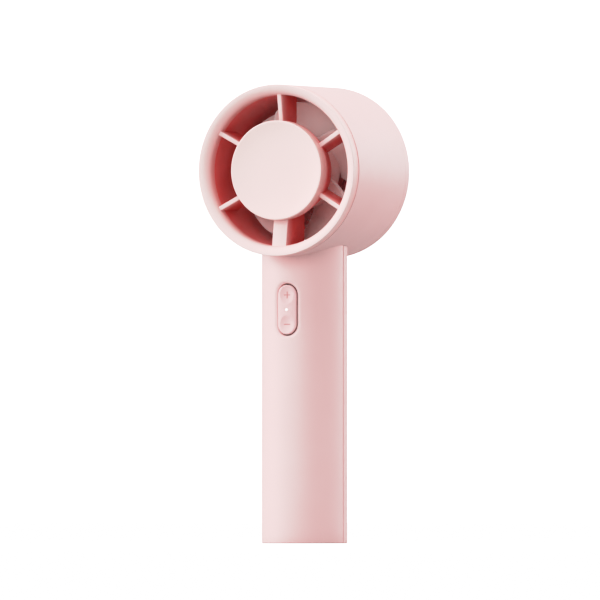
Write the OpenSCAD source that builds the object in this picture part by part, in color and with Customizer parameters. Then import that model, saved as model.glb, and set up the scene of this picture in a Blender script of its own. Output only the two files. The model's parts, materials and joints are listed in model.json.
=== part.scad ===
// Handheld electric fan. A round head with an air duct stands on a straight round handle.
// X points right, Y points back and Z points up. The origin is at the centre of the base.
// Inside the head, lengths along its axis are given as f, measured forward from the handle's axis.

/* [Head] */
// Outer diameter of the head
head_d = 76; // [70:1:92]
// Length of the head, front to back
head_len = 60; // [50:1:72]
// Height of the head's underside above the base
neck_z = 127; // [125:1:150]
// Wall of the head's outer barrel
head_wall = 2; // [1.6:0.1:2.4]
// Wall of the air duct
duct_wall = 1.2; // [1:0.1:1.6]
// Gap between the barrel and the air duct
duct_gap = 1.4; // [1.4:0.1:3]
// Length of the front ring and of the rear ring
ring_len = 5; // [5:0.1:6]
// Width of the groove between each ring and the barrel
groove_w = 0.6; // [0.4:0.1:0.8]
// Depth of the grooves
groove_depth = 0.8; // [0.4:0.1:1]
// Radius of the rolled lip at the mouth of the duct
lip_r = 4.2; // [3:0.1:4.4]
// Round on the rear ring's outer edge
rear_round = 1.5; // [0.5:0.1:2]

/* [Rear grille] */
// Number of rings in the rear grille
grille_rings = 8; // [3:1:8]
// Number of spokes in the rear grille
grille_spokes = 6; // [3:1:12]
// Width of the grille's rings and spokes
grille_bar = 1.4; // [1:0.1:1.6]
// Diameter of the grille's middle disc
grille_boss_d = 14; // [10:1:20]

/* [Motor hub and struts] */
// Diameter of the hub at its front
hub_d = 44; // [42:1:48]
// Diameter of the hub at its rear
hub_rear_d = 36; // [35:1:38]
// Distance from the front plane to the hub's rear face
hub_depth = 19.7; // [19.7:0.1:24]
// Height of the hub cap, with its skirt
cap_h = 5; // [5:0.1:6]
// Wall of the hub
hub_wall = 1.6; // [1.4:0.1:1.8]
// Floor of the hub, where the motor is screwed on
hub_floor = 2; // [2:0.1:2.4]
// Depth of the dish in the hub cap
cap_dish = 0.5; // [0.2:0.1:0.6]
// Thickness of the thin struts
strut_t = 2; // [1.6:0.1:3]
// Width of the bottom strut, which carries the motor leads
lead_strut_w = 6.9; // [6.6:0.1:9]
// Number of struts
strut_count = 6; // [3:1:6]

/* [Impeller] */
// Number of blades
blade_count = 5; // [3:1:6]
// Gap between the blade tips and the duct
tip_gap = 2.2; // [1:0.1:3]
// Length of the blades along the axis
blade_len = 13.5; // [10:0.1:14]
// Angle that a blade turns through along its length
blade_turn = 70; // [50:1:70]
// Angular thickness of a blade
blade_angle = 7; // [6:0.1:9]
// Angle that a blade's edges sweep back, per millimetre of radius
blade_sweep = 1.45; // [0:0.05:2]
// Diameter of the impeller's hub
rotor_hub_d = 33; // [30:1:34]
// Diameter of the motor shaft
shaft_d = 3; // [3:0.1:3.6]

/* [Handle] */
// Outer diameter of the handle
handle_d = 38; // [38:1:48]
// Wall of the handle
handle_wall = 2; // [1.8:0.1:2.4]
// Width of the groove between the handle's two halves
seam_w = 0.5; // [0.3:0.1:0.8]
// Round on the handle's bottom edge
foot_round = 0.6; // [0.3:0.1:1]

/* [Key] */
// Height of the key's centre above the base
key_z = 103.5; // [98:0.5:106]
// Width of the key
key_w = 9.3; // [9:0.1:11]
// Length of the key
key_len = 22; // [21:0.5:24]
// Gap between the key's sides and its slot
key_gap = 0.35; // [0.3:0.05:0.5]
// Gap between the key's ends and its slot
key_end_gap = 0.6; // [0.5:0.05:0.8]
// Diameter of the two dished finger spots
dish_d = 8; // [6:0.1:9]
// Distance of the finger spots and switches from the key's centre
switch_dz = 6.5; // [6:0.1:7]
// Diameter of the light dot
light_d = 1.35; // [1:0.05:2]

/* [Battery] */
// Diameter of the cell
cell_d = 21.2; // [17:0.1:22]
// Length of the cell
cell_len = 70; // [60:0.5:70]
// Wall of the cell's cradle
cradle_wall = 1.5; // [1.2:0.1:1.8]

/* [Hidden] */
$fn = 96;
eps = 0.01;         // cutters pass a face by this much
fit = 0.1;          // gap of a push fit between plastic pieces
screw_r = 1;        // shank of every small screw
screw_head_r = 1.9;
screw_head_h = 1;
boss_r = 2.4;       // plastic post round a screw

// Head, radii and planes along its axis
head_r = head_d / 2;
head_z = neck_z + head_r;                 // height of the head's axis
barrel_ir = head_r - head_wall;
duct_or = barrel_ir - duct_gap;
duct_r = duct_or - duct_wall;
front_f = head_len / 2;
ring_f = front_f - ring_len;              // front ring's rear face
barrel_f = ring_f - groove_w;             // barrel's end face
duct_f = barrel_f - 1.6;                  // duct's end face
skirt_f = duct_f - 4.8;                   // end of the skirt between duct and barrel
seat_r = head_r - groove_depth;           // bottom of the grooves
small_round = 0.4;

// Motor hub
hub_r = hub_d / 2;
hub_rear_r = hub_rear_d / 2;
hub_f = front_f - hub_depth;              // hub's rear face
floor_f = hub_f + hub_floor;              // hub's inner floor
cap_f = front_f - cap_h;                  // joint between the hub and its cap
taper_f = cap_f - 1.5;                    // the hub tapers behind this plane
cap_wall = 1.2;
strut_rim_f = front_f - 3;                // struts' front edge at the ring
strut_hub_f = cap_f - 0.3;                // struts' front edge at the hub

// Motor, built up from the hub's floor
shaft_r = shaft_d / 2;
shaft_run = 0.03;                         // running clearance of the shaft in its bearings
bearing_r = shaft_r + 2;
bearing_w = 3;
tube_r = bearing_r + 1;
flange_r = 10;
flange_t = 1;
rear_bearing_f = floor_f - 1.5;
front_bearing_f = front_f - 7.2;
tube_top_f = front_bearing_f + bearing_w;
board_f = floor_f + flange_t;             // driver board's rear face
board_t = 1;
board_top_f = board_f + board_t;
coil_f = board_top_f + 2;                 // windings' rear end
coil_top_f = tube_top_f - 0.3;
coil_t = 0.9;
core_f = coil_f + coil_t;
core_top_f = coil_top_f - coil_t;
core_r = 11.3;
air_gap = 0.35;
magnet_ir = core_r + air_gap;
magnet_t = 1.35;
can_ir = magnet_ir + magnet_t;
can_wall = 1;
can_r = can_ir + can_wall;
can_f = coil_f - 0.1;                     // rotor can's open end
can_in_f = tube_top_f + 0.8;              // inside of the can's end plate
can_top_f = can_in_f + can_wall;
shaft_top_f = can_top_f + 0.2;
tooth_count = 9;
tooth_w = 1.8;
shoe_t = 1.2;                             // teeth end in shoes this thick
slot_w = 0.9;                             // gap between two shoes
motor_screw_r = 7.4;                      // radius of the motor screws' circle

// Impeller
blade_f = hub_f - 1.8;                    // blades' front plane
blade_rear_f = blade_f - blade_len;
tip_r = duct_r - tip_gap;
tip_round = 3;
rotor_hub_r = rotor_hub_d / 2;
rotor_f = hub_f - 0.8;                    // front of the impeller's hub
rotor_rear_f = blade_rear_f - 0.6;
rotor_wall = 1.4;
rotor_nose = 5;                           // round at the back of the impeller's hub
blade_first = 116;                        // front edge of the first blade, at the mid radius
blade_mid_r = 27;
insert_r = shaft_r + 1.1;
insert_boss_r = insert_r + 1.9;
insert_rear_f = rotor_rear_f + 1.4;
washer_t = 0.5;
nut_t = 2.4;
nut_flat = 5.5;
nut_f = insert_rear_f - washer_t - nut_t; // rear face of the nut
shaft_end_f = nut_f - 0.6;

// Rear grille
grille_rear_f = -front_f + 1;
grille_front_f = grille_rear_f + 4;
grille_boss_r = grille_boss_d / 2;
grille_pitch = (duct_r - grille_boss_r) / (grille_rings + 1);

// Handle
handle_r = handle_d / 2;
handle_ir = handle_r - handle_wall;
lip_t = 0.9;                              // lip that closes the handle's side grooves
lip_len = 1.2;
rib_t = 1.5;
hook_w = 8;                               // hook that holds the rear cover's top
hook_t = 2;
hook_y = 10.2;

// Base
foot_t = 0.8;
cap_t = 2;
cap_top_z = foot_t + cap_t;
base_boss = [handle_ir - 8, 9];
base_boss_z = 10.6;                       // top of the posts for the base screws
charge_z = cap_top_z + 3.2;
charge_t = 1.2;
charge_w = 14;
charge_front = -4.6;
charge_post = [5, -2.2];
usb_w = 8.94;
usb_h = 3.26;
usb_len = 7.35;
usb_wall = 0.3;
usb_gap = 0.2;
usb_rear = handle_r - 1.05;

// Battery, stacked upwards
cell_r = cell_d / 2;
foam_t = 0.8;
tab_t = 0.3;
cradle_z = charge_z + charge_t + usb_h + 0.4;
foam_z = cradle_z + cradle_wall;
tab_z = foam_z + foam_t;
cell_z = tab_z + tab_t;
cell_top_z = cell_z + cell_len;
cradle_top_z = cell_top_z + tab_t + foam_t + cradle_wall;
cradle_ir = cell_r + fit;
cradle_r = cradle_ir + cradle_wall;
rib_ir = cradle_r + fit;
notch_w = 14.6;                           // width of the leads' way past the ribs
lead_y = (cradle_r + handle_ir) / 2;      // leads run up behind the cradle
lead_r = 0.5;
charge_back = lead_y + 0.6;
lead_xs = [-6.2, -1.5, 1.5, 6.2];

// Key and the boards behind it
key_face = handle_r;                      // the key is flush with the handle
key_back = handle_ir - 0.6;               // depth of the key's rear face, from the handle's axis
pivot_y = -(handle_ir - 2.8);
pivot_r = 0.9;
pivot_run = 0.05;
stem_w = 6.4;
stem_h = 4;
stem_y = pivot_y + 1.2;
ear_in = stem_w / 2 + 0.4;
ear_t = 2;
pivot_end = ear_in + ear_t - 0.2;
nub_r = 1.2;
nub_gap = 0.35;
plunger_y = pivot_y + 0.4;                // tip of the switch plungers
plunger_r = 0.9;
plunger_h = 1.2;
switch_w = 4.5;
switch_h = 3.2;
pcb_y = plunger_y + plunger_h + switch_h; // front face of the main board
pcb_t = 1.2;
pcb_back = pcb_y + pcb_t;
pcb_w = 24;
pcb_z = cradle_top_z + 1.2;
pcb_top_z = key_z + 20.3;
post_x = 9.2;
post_places = [[-post_x, pcb_top_z - 3], [post_x, pcb_z + 2.8]];
bracket_w = 13.2;
bracket_t = 1.2;
bracket_y = plunger_y + plunger_h - 0.2;  // front face of the bracket's plate
bracket_post_dz = key_len / 2 + key_end_gap + 0.2 + boss_r;
bracket_h = 2 * (bracket_post_dz + screw_head_r);
slot_chamfer_y = handle_r - 1.5;          // the slot's chamfer starts this far from the axis
led_h = 0.9;
socket_h = 4;
socket_z = pcb_z + 5.6;
motor_socket_z = pcb_top_z - 3.6;
motor_lead_y = pcb_back + socket_h / 2;
motor_lead_f = board_top_f + lead_r;
motor_lead_xs = [-1.5, 0, 1.5];
motor_lead_z = head_z - barrel_ir + duct_gap / 2;  // the leads cross between barrel and duct
channel_w = 4.6;
channel_f = [motor_lead_f - 1.9, motor_lead_f + 1.5];

function unit(v) = v / norm(v);
// Points of the arc that rounds the corner b between a and c
function corner_arc(a, b, c, r, n = 5) =
    let (u = unit(a - b), w = unit(c - b), half = acos(u * w) / 2)
    let (m = b + unit(u + w) * r / sin(half))
    let (p = b + u * r / tan(half) - m, q = b + w * r / tan(half) - m)
    [for (i = [0:n]) m + r * unit(p * (1 - i / n) + q * i / n)];
// A path with each inner corner rounded
function round_path(pts, r) = concat([pts[0]],
    [for (i = [1:len(pts) - 2]) each corner_arc(pts[i - 1], pts[i], pts[i + 1], r)], [pts[len(pts) - 1]]);

// Insulated lead of radius r along a path of [y, z] points at x
module lead(x, path, r, sides = 8) {
    n = len(path);
    rings = [for (i = [0:n - 1])
        let (t = unit(path[min(i + 1, n - 1)] - path[max(i - 1, 0)]))
        for (j = [0:sides - 1])
        let (c = r * cos(360 * j / sides), s = r * sin(360 * j / sides))
        [x + c, path[i][0] - t[1] * s, path[i][1] + t[0] * s]];
    sides_faces = [for (i = [0:n - 2], j = [0:sides - 1])
        let (k = (j + 1) % sides)
        [i * sides + j, (i + 1) * sides + j, (i + 1) * sides + k, i * sides + k]];
    polyhedron(rings, concat(sides_faces, [[for (j = [0:sides - 1]) j]],
        [[for (j = [sides - 1:-1:0]) (n - 1) * sides + j]]));
}

// Places what is drawn along +Z on the head's axis, facing forward
module head_frame() {
    translate([0, 0, head_z]) rotate([90, 0, 0]) children();
}

module tube(r_out, r_in, z0, z1) {
    translate([0, 0, z0]) difference() {
        cylinder(r = r_out, h = z1 - z0);
        translate([0, 0, -eps]) cylinder(r = r_in, h = z1 - z0 + 2 * eps);
    }
}

// Cutter that rounds the corner p of an outline. s points from the corner into the outline
module corner_cut(p, r, s) {
    translate(p) difference() {
        translate([s[0] > 0 ? -eps : -r, s[1] > 0 ? -eps : -r]) square(r + eps);
        translate([s[0] * r, s[1] * r]) circle(r);
    }
}

module box(x, y, z) {
    translate([x[0], y[0], z[0]]) cube([x[1] - x[0], y[1] - y[0], z[1] - z[0]]);
}

// Capsule that stands upright and runs along Y, from y0 to y1
module capsule(w, len, y0, y1) {
    dz = (len - w) / 2;
    for (s = [-1, 1]) translate([0, y1, s * dz]) rotate([90, 0, 0]) cylinder(d = w, h = y1 - y0);
    box([-w / 2, w / 2], [y0, y1], [-dz, dz]);
}

// Capsule that widens towards the front at 45 degrees
module flared_capsule(w, len, y0, y1) {
    dz = (len - w) / 2;
    grow = y1 - y0;
    for (s = [-1, 1]) translate([0, y1, s * dz]) rotate([90, 0, 0])
        cylinder(r1 = w / 2, r2 = w / 2 + grow, h = grow);
    translate([0, 0, -dz]) linear_extrude(2 * dz)
        polygon([[-w / 2, y1], [w / 2, y1], [w / 2 + grow, y0], [-w / 2 - grow, y0]]);
}

// Pan-head screw standing on z = 0, its head up and its shank down
module screw(len, head_r = screw_head_r) {
    translate([0, 0, -len]) cylinder(r = screw_r, h = len + screw_head_h / 2);
    difference() {
        cylinder(r = head_r, h = screw_head_h);
        for (a = [0, 90]) rotate([0, 0, a])
            translate([-head_r * 0.6, -0.2, screw_head_h * 0.5]) cube([head_r * 1.2, 0.4, screw_head_h]);
    }
}

// ---- Housing ----

// One end ring with its groove seat, spigot and skirt, drawn as an outline at radius x and depth y
module ring_outline(round_r, mouth_r) {
    difference() {
        union() {
            translate([duct_r, ring_f]) square([head_r - duct_r, ring_len]);
            translate([duct_r, barrel_f]) square([seat_r - duct_r, groove_w + eps]);
            translate([duct_r, duct_f]) square([barrel_ir - fit - duct_r, barrel_f - duct_f + eps]);
            translate([duct_or + fit, skirt_f]) square([duct_gap - 2 * fit, duct_f - skirt_f + eps]);
        }
        corner_cut([duct_r, front_f], mouth_r, [1, -1]);
        corner_cut([head_r, front_f], round_r, [-1, -1]);
        corner_cut([head_r, ring_f], small_round / 2, [-1, 1]);
    }
}

// The strut's outline, x from the axis and y forward
module strut_outline() {
    root = hub_wall / 2;
    polygon([[hub_r - root, strut_hub_f], [duct_r + 1, strut_rim_f], [duct_r + 1, duct_f],
        [duct_r - 2 * fit, duct_f], [duct_r - 2 * fit, hub_f], [hub_rear_r - root, hub_f],
        [hub_r - root, taper_f]]);
}

module strut(angle, w) {
    rotate([0, 0, angle]) rotate([90, 0, 0]) linear_extrude(w, center = true) strut_outline();
}

module motor_cup() {
    rotate_extrude() polygon([[tube_r + 0.5 + fit, hub_f], [hub_rear_r, hub_f], [hub_r, taper_f],
        [hub_r, cap_f], [hub_r - hub_wall, cap_f], [hub_r - hub_wall, taper_f],
        [hub_rear_r - hub_wall, floor_f], [tube_r + 0.5 + fit, floor_f]]);
}

module motor_screw_places() {
    for (i = [0:2]) rotate([0, 0, 30 + 120 * i]) translate([motor_screw_r, 0, 0]) children();
}

module front_guard() color([0.93, 0.80, 0.79]) head_frame() difference() {
    union() {
        rotate_extrude() ring_outline(small_round, lip_r);
        motor_cup();
        for (i = [0:strut_count - 1]) strut(360 * i / strut_count - 90, i == 0 ? lead_strut_w : strut_t);
    }
    translate([-channel_w / 2, -duct_r - eps, channel_f[0]])
        cube([channel_w, duct_r - hub_rear_r + 2.6, channel_f[1] - channel_f[0]]);
    motor_screw_places() {
        translate([0, 0, hub_f - eps]) cylinder(r = screw_r + fit, h = hub_floor + 2 * eps);
        translate([0, 0, hub_f - eps]) cylinder(r = screw_head_r + fit, h = screw_head_h + eps);
    }
}

module hub_cap() color([0.94, 0.87, 0.86]) head_frame() rotate_extrude() difference() {
    spigot_r = hub_r - hub_wall - fit;
    union() {
        translate([0, front_f - cap_dish - cap_wall]) square([hub_r, cap_dish + cap_wall]);
        translate([spigot_r - cap_wall, cap_f]) square([hub_r - spigot_r + cap_wall, cap_h - cap_wall]);
        translate([spigot_r - cap_wall, taper_f]) square([cap_wall, cap_f - taper_f + eps]);
    }
    corner_cut([hub_r, front_f], small_round, [-1, -1]);
    polygon([[-eps, front_f - cap_dish], [hub_r - 4, front_f - cap_dish], [hub_r - 0.8, front_f + eps],
        [-eps, front_f + eps]]);
}

module air_duct() color([0.66, 0.22, 0.22]) difference() {
    head_frame() tube(duct_or, duct_r, -duct_f, duct_f);
    box([-channel_w / 2 - 0.3, channel_w / 2 + 0.3], [-channel_f[1] - 0.3, -channel_f[0] + 0.8],
        [head_z - duct_or - 1, head_z - duct_r + 1]);
}

module rear_grille() color([0.90, 0.76, 0.75]) head_frame() {
    mirror([0, 0, 1]) rotate_extrude() ring_outline(rear_round, lip_r * 0.8);
    depth = grille_front_f - grille_rear_f;
    for (i = [1:grille_rings]) rotate_extrude()
        translate([grille_boss_r + i * grille_pitch, 0]) {
            translate([-grille_bar / 2, grille_rear_f + grille_bar / 2])
                square([grille_bar, depth - grille_bar / 2]);
            translate([0, grille_rear_f + grille_bar / 2]) circle(grille_bar / 2);
        }
    rotate_extrude() difference() {
        translate([0, grille_rear_f]) square([grille_boss_r, depth]);
        corner_cut([grille_boss_r, grille_rear_f], 1, [-1, 1]);
    }
    for (i = [0:grille_spokes - 1]) rotate([0, 0, 360 * i / grille_spokes])
        translate([grille_boss_r - 1, -grille_bar / 2, grille_rear_f + 0.6])
            cube([duct_r - grille_boss_r + 1.6, grille_bar, depth - 0.6]);
}

// Half of the handle's tube. side is -1 for the front half and 1 for the rear half
module handle_half(side, top) {
    intersection() {
        rotate_extrude() difference() {
            translate([handle_ir, 0]) square([handle_wall, top]);
            corner_cut([handle_r, 0], foot_round, [-1, 1]);
        }
        box([-handle_r - 1, handle_r + 1],
            side < 0 ? [-handle_r - 1, -seam_w / 2] : [seam_w / 2, handle_r + 1], [0, top]);
    }
}

// Crescent ribs that hold the battery's cradle
module cradle_ribs(side) {
    for (z = [cell_z + cell_len * 0.15, cell_z + cell_len * 0.5, cell_z + cell_len * 0.85])
        intersection() {
            difference() {
                tube(handle_ir + 0.5, rib_ir, z, z + rib_t);
                box([-notch_w / 2, notch_w / 2], [0, handle_r], [z - eps, z + rib_t + eps]);
            }
            box([-handle_r, handle_r], side < 0 ? [-handle_r, -lip_len - 0.6] : [seam_w / 2 + 0.4, handle_r],
                [z - eps, z + rib_t + eps]);
        }
}

// Post that stands on the inside of the front wall and ends at y_end
module wall_post(x, z, y_end) {
    intersection() {
        translate([x, y_end, z]) rotate([90, 0, 0]) cylinder(r = boss_r, h = handle_r);
        translate([0, 0, z - boss_r - 1]) cylinder(r = handle_ir + 0.6, h = 2 * boss_r + 2);
    }
}

module wall_pilot(x, z, y_end, depth) {
    translate([x, y_end + eps, z]) rotate([90, 0, 0]) cylinder(r = screw_r, h = depth);
}

module board_post_places() {
    for (p = post_places) translate([p[0], 0, p[1]]) children();
}

module body_shell() color([0.93, 0.82, 0.81]) {
    bracket_zs = [key_z - bracket_post_dz, key_z + bracket_post_dz];
    difference() {
        union() {
            difference() {
                union() {
                    handle_half(-1, head_z);
                    head_frame() rotate_extrude() difference() {
                        translate([barrel_ir - 1, -barrel_f]) square([head_r - barrel_ir + 1, 2 * barrel_f]);
                        for (s = [-1, 1]) corner_cut([head_r, s * barrel_f], small_round / 2, [-1, -s]);
                    }
                }
                head_frame() translate([0, 0, -head_len]) cylinder(r = barrel_ir, h = 2 * head_len);
            }
            cradle_ribs(-1);
            for (z = bracket_zs) wall_post(0, z, bracket_y);
            for (p = post_places) wall_post(p[0], p[1], pcb_y);
            for (s = [-1, 1]) {
                translate([s * base_boss[0], -base_boss[1], cap_top_z])
                    cylinder(r = boss_r, h = base_boss_z - cap_top_z);
                intersection() {
                    box([s * base_boss[0] - 0.7, s * base_boss[0] + 0.7], [-handle_r, -base_boss[1]],
                        [cap_top_z, base_boss_z]);
                    cylinder(r = handle_ir + 0.5, h = base_boss_z);
                }
            }
        }
        // rabbet for the rear cover's lip
        intersection() {
            translate([0, 0, -eps]) cylinder(r = handle_ir + lip_t + fit, h = head_z);
            box([-handle_r, handle_r], [-lip_len - 0.15, 0], [-1, head_z]);
            difference() {
                box([-handle_r, handle_r], [-handle_r, handle_r], [-1, head_z]);
                head_frame() translate([0, 0, -head_len]) cylinder(r = head_r, h = 2 * head_len);
            }
        }
        translate([0, 0, key_z]) {
            capsule(key_w + 2 * key_gap, key_len + 2 * key_end_gap, -handle_r - 1, -handle_ir + 2.5);
            flared_capsule(key_w + 2 * key_gap, key_len + 2 * key_end_gap, -handle_r - 1, -slot_chamfer_y);
        }
        for (z = bracket_zs) wall_pilot(0, z, bracket_y, 3.6);
        for (p = post_places) wall_pilot(p[0], p[1], pcb_y, 3.6);
        for (s = [-1, 1]) translate([s * base_boss[0], -base_boss[1], cap_top_z - eps])
            cylinder(r = screw_r, h = base_boss_z - cap_top_z - 1.2);
        // way for the motor leads, and slot for the rear cover's hook
        box([-channel_w / 2 - 0.8, channel_w / 2 + 0.8], [motor_lead_y - 1.6, motor_lead_y + 1.6],
            [head_z - head_r - 1, head_z - barrel_ir + 2]);
        box([-hook_w / 2 - fit, hook_w / 2 + fit], [hook_y - fit, hook_y + hook_t + fit],
            [head_z - head_r - 1, head_z - barrel_ir + 2]);
    }
}

module rear_cover() color([0.92, 0.80, 0.79]) difference() {
    union() {
        difference() {
            union() {
                handle_half(1, head_z);
                intersection() {
                    tube(handle_ir + lip_t, handle_ir, foot_t, head_z);
                    box([-handle_r, handle_r], [-lip_len, seam_w / 2 + eps], [0, head_z]);
                }
            }
            head_frame() translate([0, 0, -head_len]) cylinder(r = head_r + 0.15, h = 2 * head_len);
        }
        cradle_ribs(1);
        box([-hook_w / 2, hook_w / 2], [hook_y, hook_y + hook_t],
            [head_z - head_r - 8, head_z - barrel_ir + 0.7]);
        intersection() {
            box([-hook_w / 2, hook_w / 2], [hook_y, handle_r],
                [head_z - head_r - 8, head_z - head_r - 0.15]);
            cylinder(r = handle_ir + 0.5, h = head_z);
        }
    }
    translate([0, 0, charge_z + charge_t + usb_h / 2]) rotate([0, 90, 0])
        translate([0, usb_rear - 2.2, 0]) usb_shape(usb_gap, 4);
}

// Rounded shell shape of the socket, its width along the local Z and its length along Y
module usb_shape(grow, len) {
    h = usb_h + 2 * grow;
    w = usb_w + 2 * grow;
    for (s = [-1, 1]) translate([0, 0, s * (w - h) / 2]) rotate([-90, 0, 0]) cylinder(d = h, h = len);
    translate([-h / 2, 0, -(w - h) / 2]) cube([h, len, w - h]);
}

module base_cap() color([0.90, 0.76, 0.75]) difference() {
    union() {
        translate([0, 0, foot_t]) cylinder(r = handle_ir - fit, h = cap_t);
        intersection() {
            tube(handle_ir - fit, handle_ir - fit - 1.4, foot_t, charge_z - 0.4);
            box([-handle_r, handle_r], [-base_boss[1] + boss_r + 1, handle_r], [0, charge_z]);
        }
        for (s = [-1, 1]) translate([s * charge_post[0], charge_post[1], foot_t])
            cylinder(r = 2, h = charge_z - foot_t);
    }
    for (s = [-1, 1]) {
        translate([s * base_boss[0], -base_boss[1], foot_t - eps]) {
            cylinder(r = screw_head_r + fit, h = screw_head_h + eps);
            cylinder(r = screw_r + fit, h = cap_t + 1);
        }
        translate([s * charge_post[0], charge_post[1], charge_z - 3])
            cylinder(r = screw_r, h = 4);
    }
}

module base_pad() color([0.45, 0.40, 0.41]) {
    rotate_extrude() difference() {
        square([handle_ir - 1, foot_t]);
        corner_cut([handle_ir - 1, 0], 0.3, [-1, 1]);
    }
}

module base_screws() color("silver") for (s = [-1, 1])
    translate([s * base_boss[0], -base_boss[1], foot_t + screw_head_h]) mirror([0, 0, 1]) screw(7);

// ---- Key ----

module key_pad() color([0.91, 0.76, 0.75]) difference() {
    ball_depth = 0.75;
    ball_r = (dish_d * dish_d / 4 + ball_depth * ball_depth) / (2 * ball_depth);
    union() {
        intersection() {
            translate([0, 0, key_z]) capsule(key_w, key_len, -handle_r - 1, -key_back);
            translate([0, 0, key_z - key_len]) cylinder(r = key_face, h = 2 * key_len);
        }
        box([-stem_w / 2, stem_w / 2], [-key_back - eps, stem_y], [key_z - stem_h / 2, key_z + stem_h / 2]);
        for (s = [-1, 1]) {
            translate([0, pivot_y, key_z]) rotate([0, s * 90, 0]) cylinder(r = pivot_r, h = pivot_end);
            translate([0, plunger_y - nub_gap, key_z + s * switch_dz]) rotate([90, 0, 0])
                cylinder(r = nub_r, h = key_back + plunger_y - nub_gap + 1);
        }
    }
    for (s = [-1, 1]) translate([0, -(key_face - ball_depth + ball_r), key_z + s * switch_dz]) sphere(ball_r);
    translate([0, 0, key_z]) rotate([90, 0, 0]) cylinder(d = light_d + 0.06, h = handle_r + 1);
}

module light_pipe() color([0.97, 0.97, 0.95]) intersection() {
    translate([0, stem_y, key_z]) rotate([90, 0, 0]) cylinder(d = light_d, h = handle_r);
    translate([0, 0, key_z - 2]) cylinder(r = key_face - 0.05, h = 4);
}

module key_bracket() color([0.85, 0.84, 0.82]) difference() {
    union() {
        box([-bracket_w / 2, bracket_w / 2], [bracket_y, bracket_y + bracket_t],
            [key_z - bracket_h / 2, key_z + bracket_h / 2]);
        for (s = [-1, 1]) box(s < 0 ? [-ear_in - ear_t, -ear_in] : [ear_in, ear_in + ear_t],
            [pivot_y - pivot_r - 0.3, bracket_y + eps], [key_z - 2, key_z + 2]);
    }
    box([-ear_in, ear_in], [bracket_y - eps, bracket_y + bracket_t + eps],
        [key_z - switch_dz - switch_w / 2 - 0.5, key_z + switch_dz + switch_w / 2 + 0.5]);
    translate([-bracket_w, pivot_y, key_z]) rotate([0, 90, 0])
        cylinder(r = pivot_r + pivot_run, h = 2 * bracket_w);
    for (s = [-1, 1]) translate([0, bracket_y + bracket_t + eps, key_z + s * bracket_post_dz])
        rotate([90, 0, 0]) cylinder(r = screw_r + fit, h = bracket_t + 2 * eps);
}

module bracket_screws() color("silver") for (s = [-1, 1])
    translate([0, bracket_y + bracket_t, key_z + s * bracket_post_dz]) rotate([-90, 0, 0])
        screw(bracket_t + 3.4);

// ---- Main board ----

module main_board() color([0.10, 0.35, 0.22]) difference() {
    box([-pcb_w / 2, pcb_w / 2], [pcb_y, pcb_back], [pcb_z, pcb_top_z]);
    board_post_places() translate([0, pcb_back + eps, 0]) rotate([90, 0, 0])
        cylinder(r = screw_r + fit, h = pcb_t + 2 * eps);
}

module board_screws() color("silver") board_post_places()
    translate([0, pcb_back, 0]) rotate([-90, 0, 0]) screw(pcb_t + 3.4);

module tact_switches() color([0.2, 0.2, 0.22]) for (s = [-1, 1]) translate([0, 0, key_z + s * switch_dz]) {
    box([-switch_w / 2, switch_w / 2], [pcb_y - switch_h, pcb_y], [-switch_w / 2, switch_w / 2]);
    translate([0, pcb_y - switch_h, 0]) rotate([90, 0, 0]) cylinder(r = plunger_r, h = plunger_h);
}

module indicator_led() color([0.98, 0.97, 0.85]) translate([0, 0, key_z]) {
    box([-1, 1], [pcb_y - led_h / 2, pcb_y], [-0.6, 0.6]);
    translate([0, pcb_y - led_h / 2, 0]) rotate([90, 0, 0]) cylinder(r = 0.5, h = led_h / 2);
}

module control_chip() color([0.12, 0.12, 0.13]) {
    box([-2.5, 2.5], [pcb_back, pcb_back + 1.2], [key_z - 2, key_z + 3]);
    for (s = [-1, 1], i = [0:3])
        box(s < 0 ? [-3.6, -2.5] : [2.5, 3.6], [pcb_back, pcb_back + 0.4],
            [key_z - 1.4 + i * 1.2, key_z - 1 + i * 1.2]);
}

module power_coil() color([0.25, 0.25, 0.27]) translate([-7, pcb_back, key_z + 7]) rotate([-90, 0, 0])
    difference() {
        translate([-3, -3, 0]) cube([6, 6, 3]);
        translate([0, 0, 2.4]) tube(2.4, 1.5, 0, 1);
    }

module board_capacitors() color([0.72, 0.60, 0.44]) for (p = [[7.5, 6], [7.5, 2.5], [-7, -4.5], [7.5, -2]])
    box([p[0] - 1.6, p[0] + 1.6], [pcb_back, pcb_back + 1.4], [key_z + p[1] - 0.8, key_z + p[1] + 0.8]);

module power_socket() color([0.93, 0.92, 0.88]) difference() {
    box([-7.4, 7.4], [pcb_back, pcb_back + socket_h], [socket_z, socket_z + socket_h]);
    for (x = lead_xs) translate([x, pcb_back + socket_h + eps, socket_z + socket_h / 2]) rotate([90, 0, 0])
        cylinder(r = lead_r, h = 2);
}

module motor_socket() color([0.93, 0.92, 0.88]) difference() {
    box([-4, 4], [pcb_back, pcb_back + socket_h], [motor_socket_z - socket_h, motor_socket_z]);
    for (x = motor_lead_xs) translate([x, motor_lead_y, motor_socket_z - 2]) cylinder(r = lead_r, h = 3);
}

// ---- Charging ----

module charge_board() color([0.10, 0.35, 0.22]) difference() {
    box([-charge_w / 2, charge_w / 2], [charge_front, charge_back], [charge_z, charge_z + charge_t]);
    for (s = [-1, 1]) translate([s * charge_post[0], charge_post[1], charge_z - eps])
        cylinder(r = screw_r + fit, h = charge_t + 2 * eps);
}

module charge_board_screws() color("silver") for (s = [-1, 1])
    translate([s * charge_post[0], charge_post[1], charge_z + charge_t]) screw(charge_t + 2.6);

module usb_c_socket() color([0.75, 0.76, 0.78]) translate([0, 0, charge_z + charge_t + usb_h / 2])
    rotate([0, 90, 0]) translate([0, usb_rear - usb_len, 0]) difference() {
        usb_shape(0, usb_len);
        translate([0, 1.5, 0]) difference() {
            usb_shape(-usb_wall, usb_len);
            translate([-0.35, 0, -3.35]) cube([0.7, usb_len - 2.2, 6.7]);
        }
    }

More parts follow.
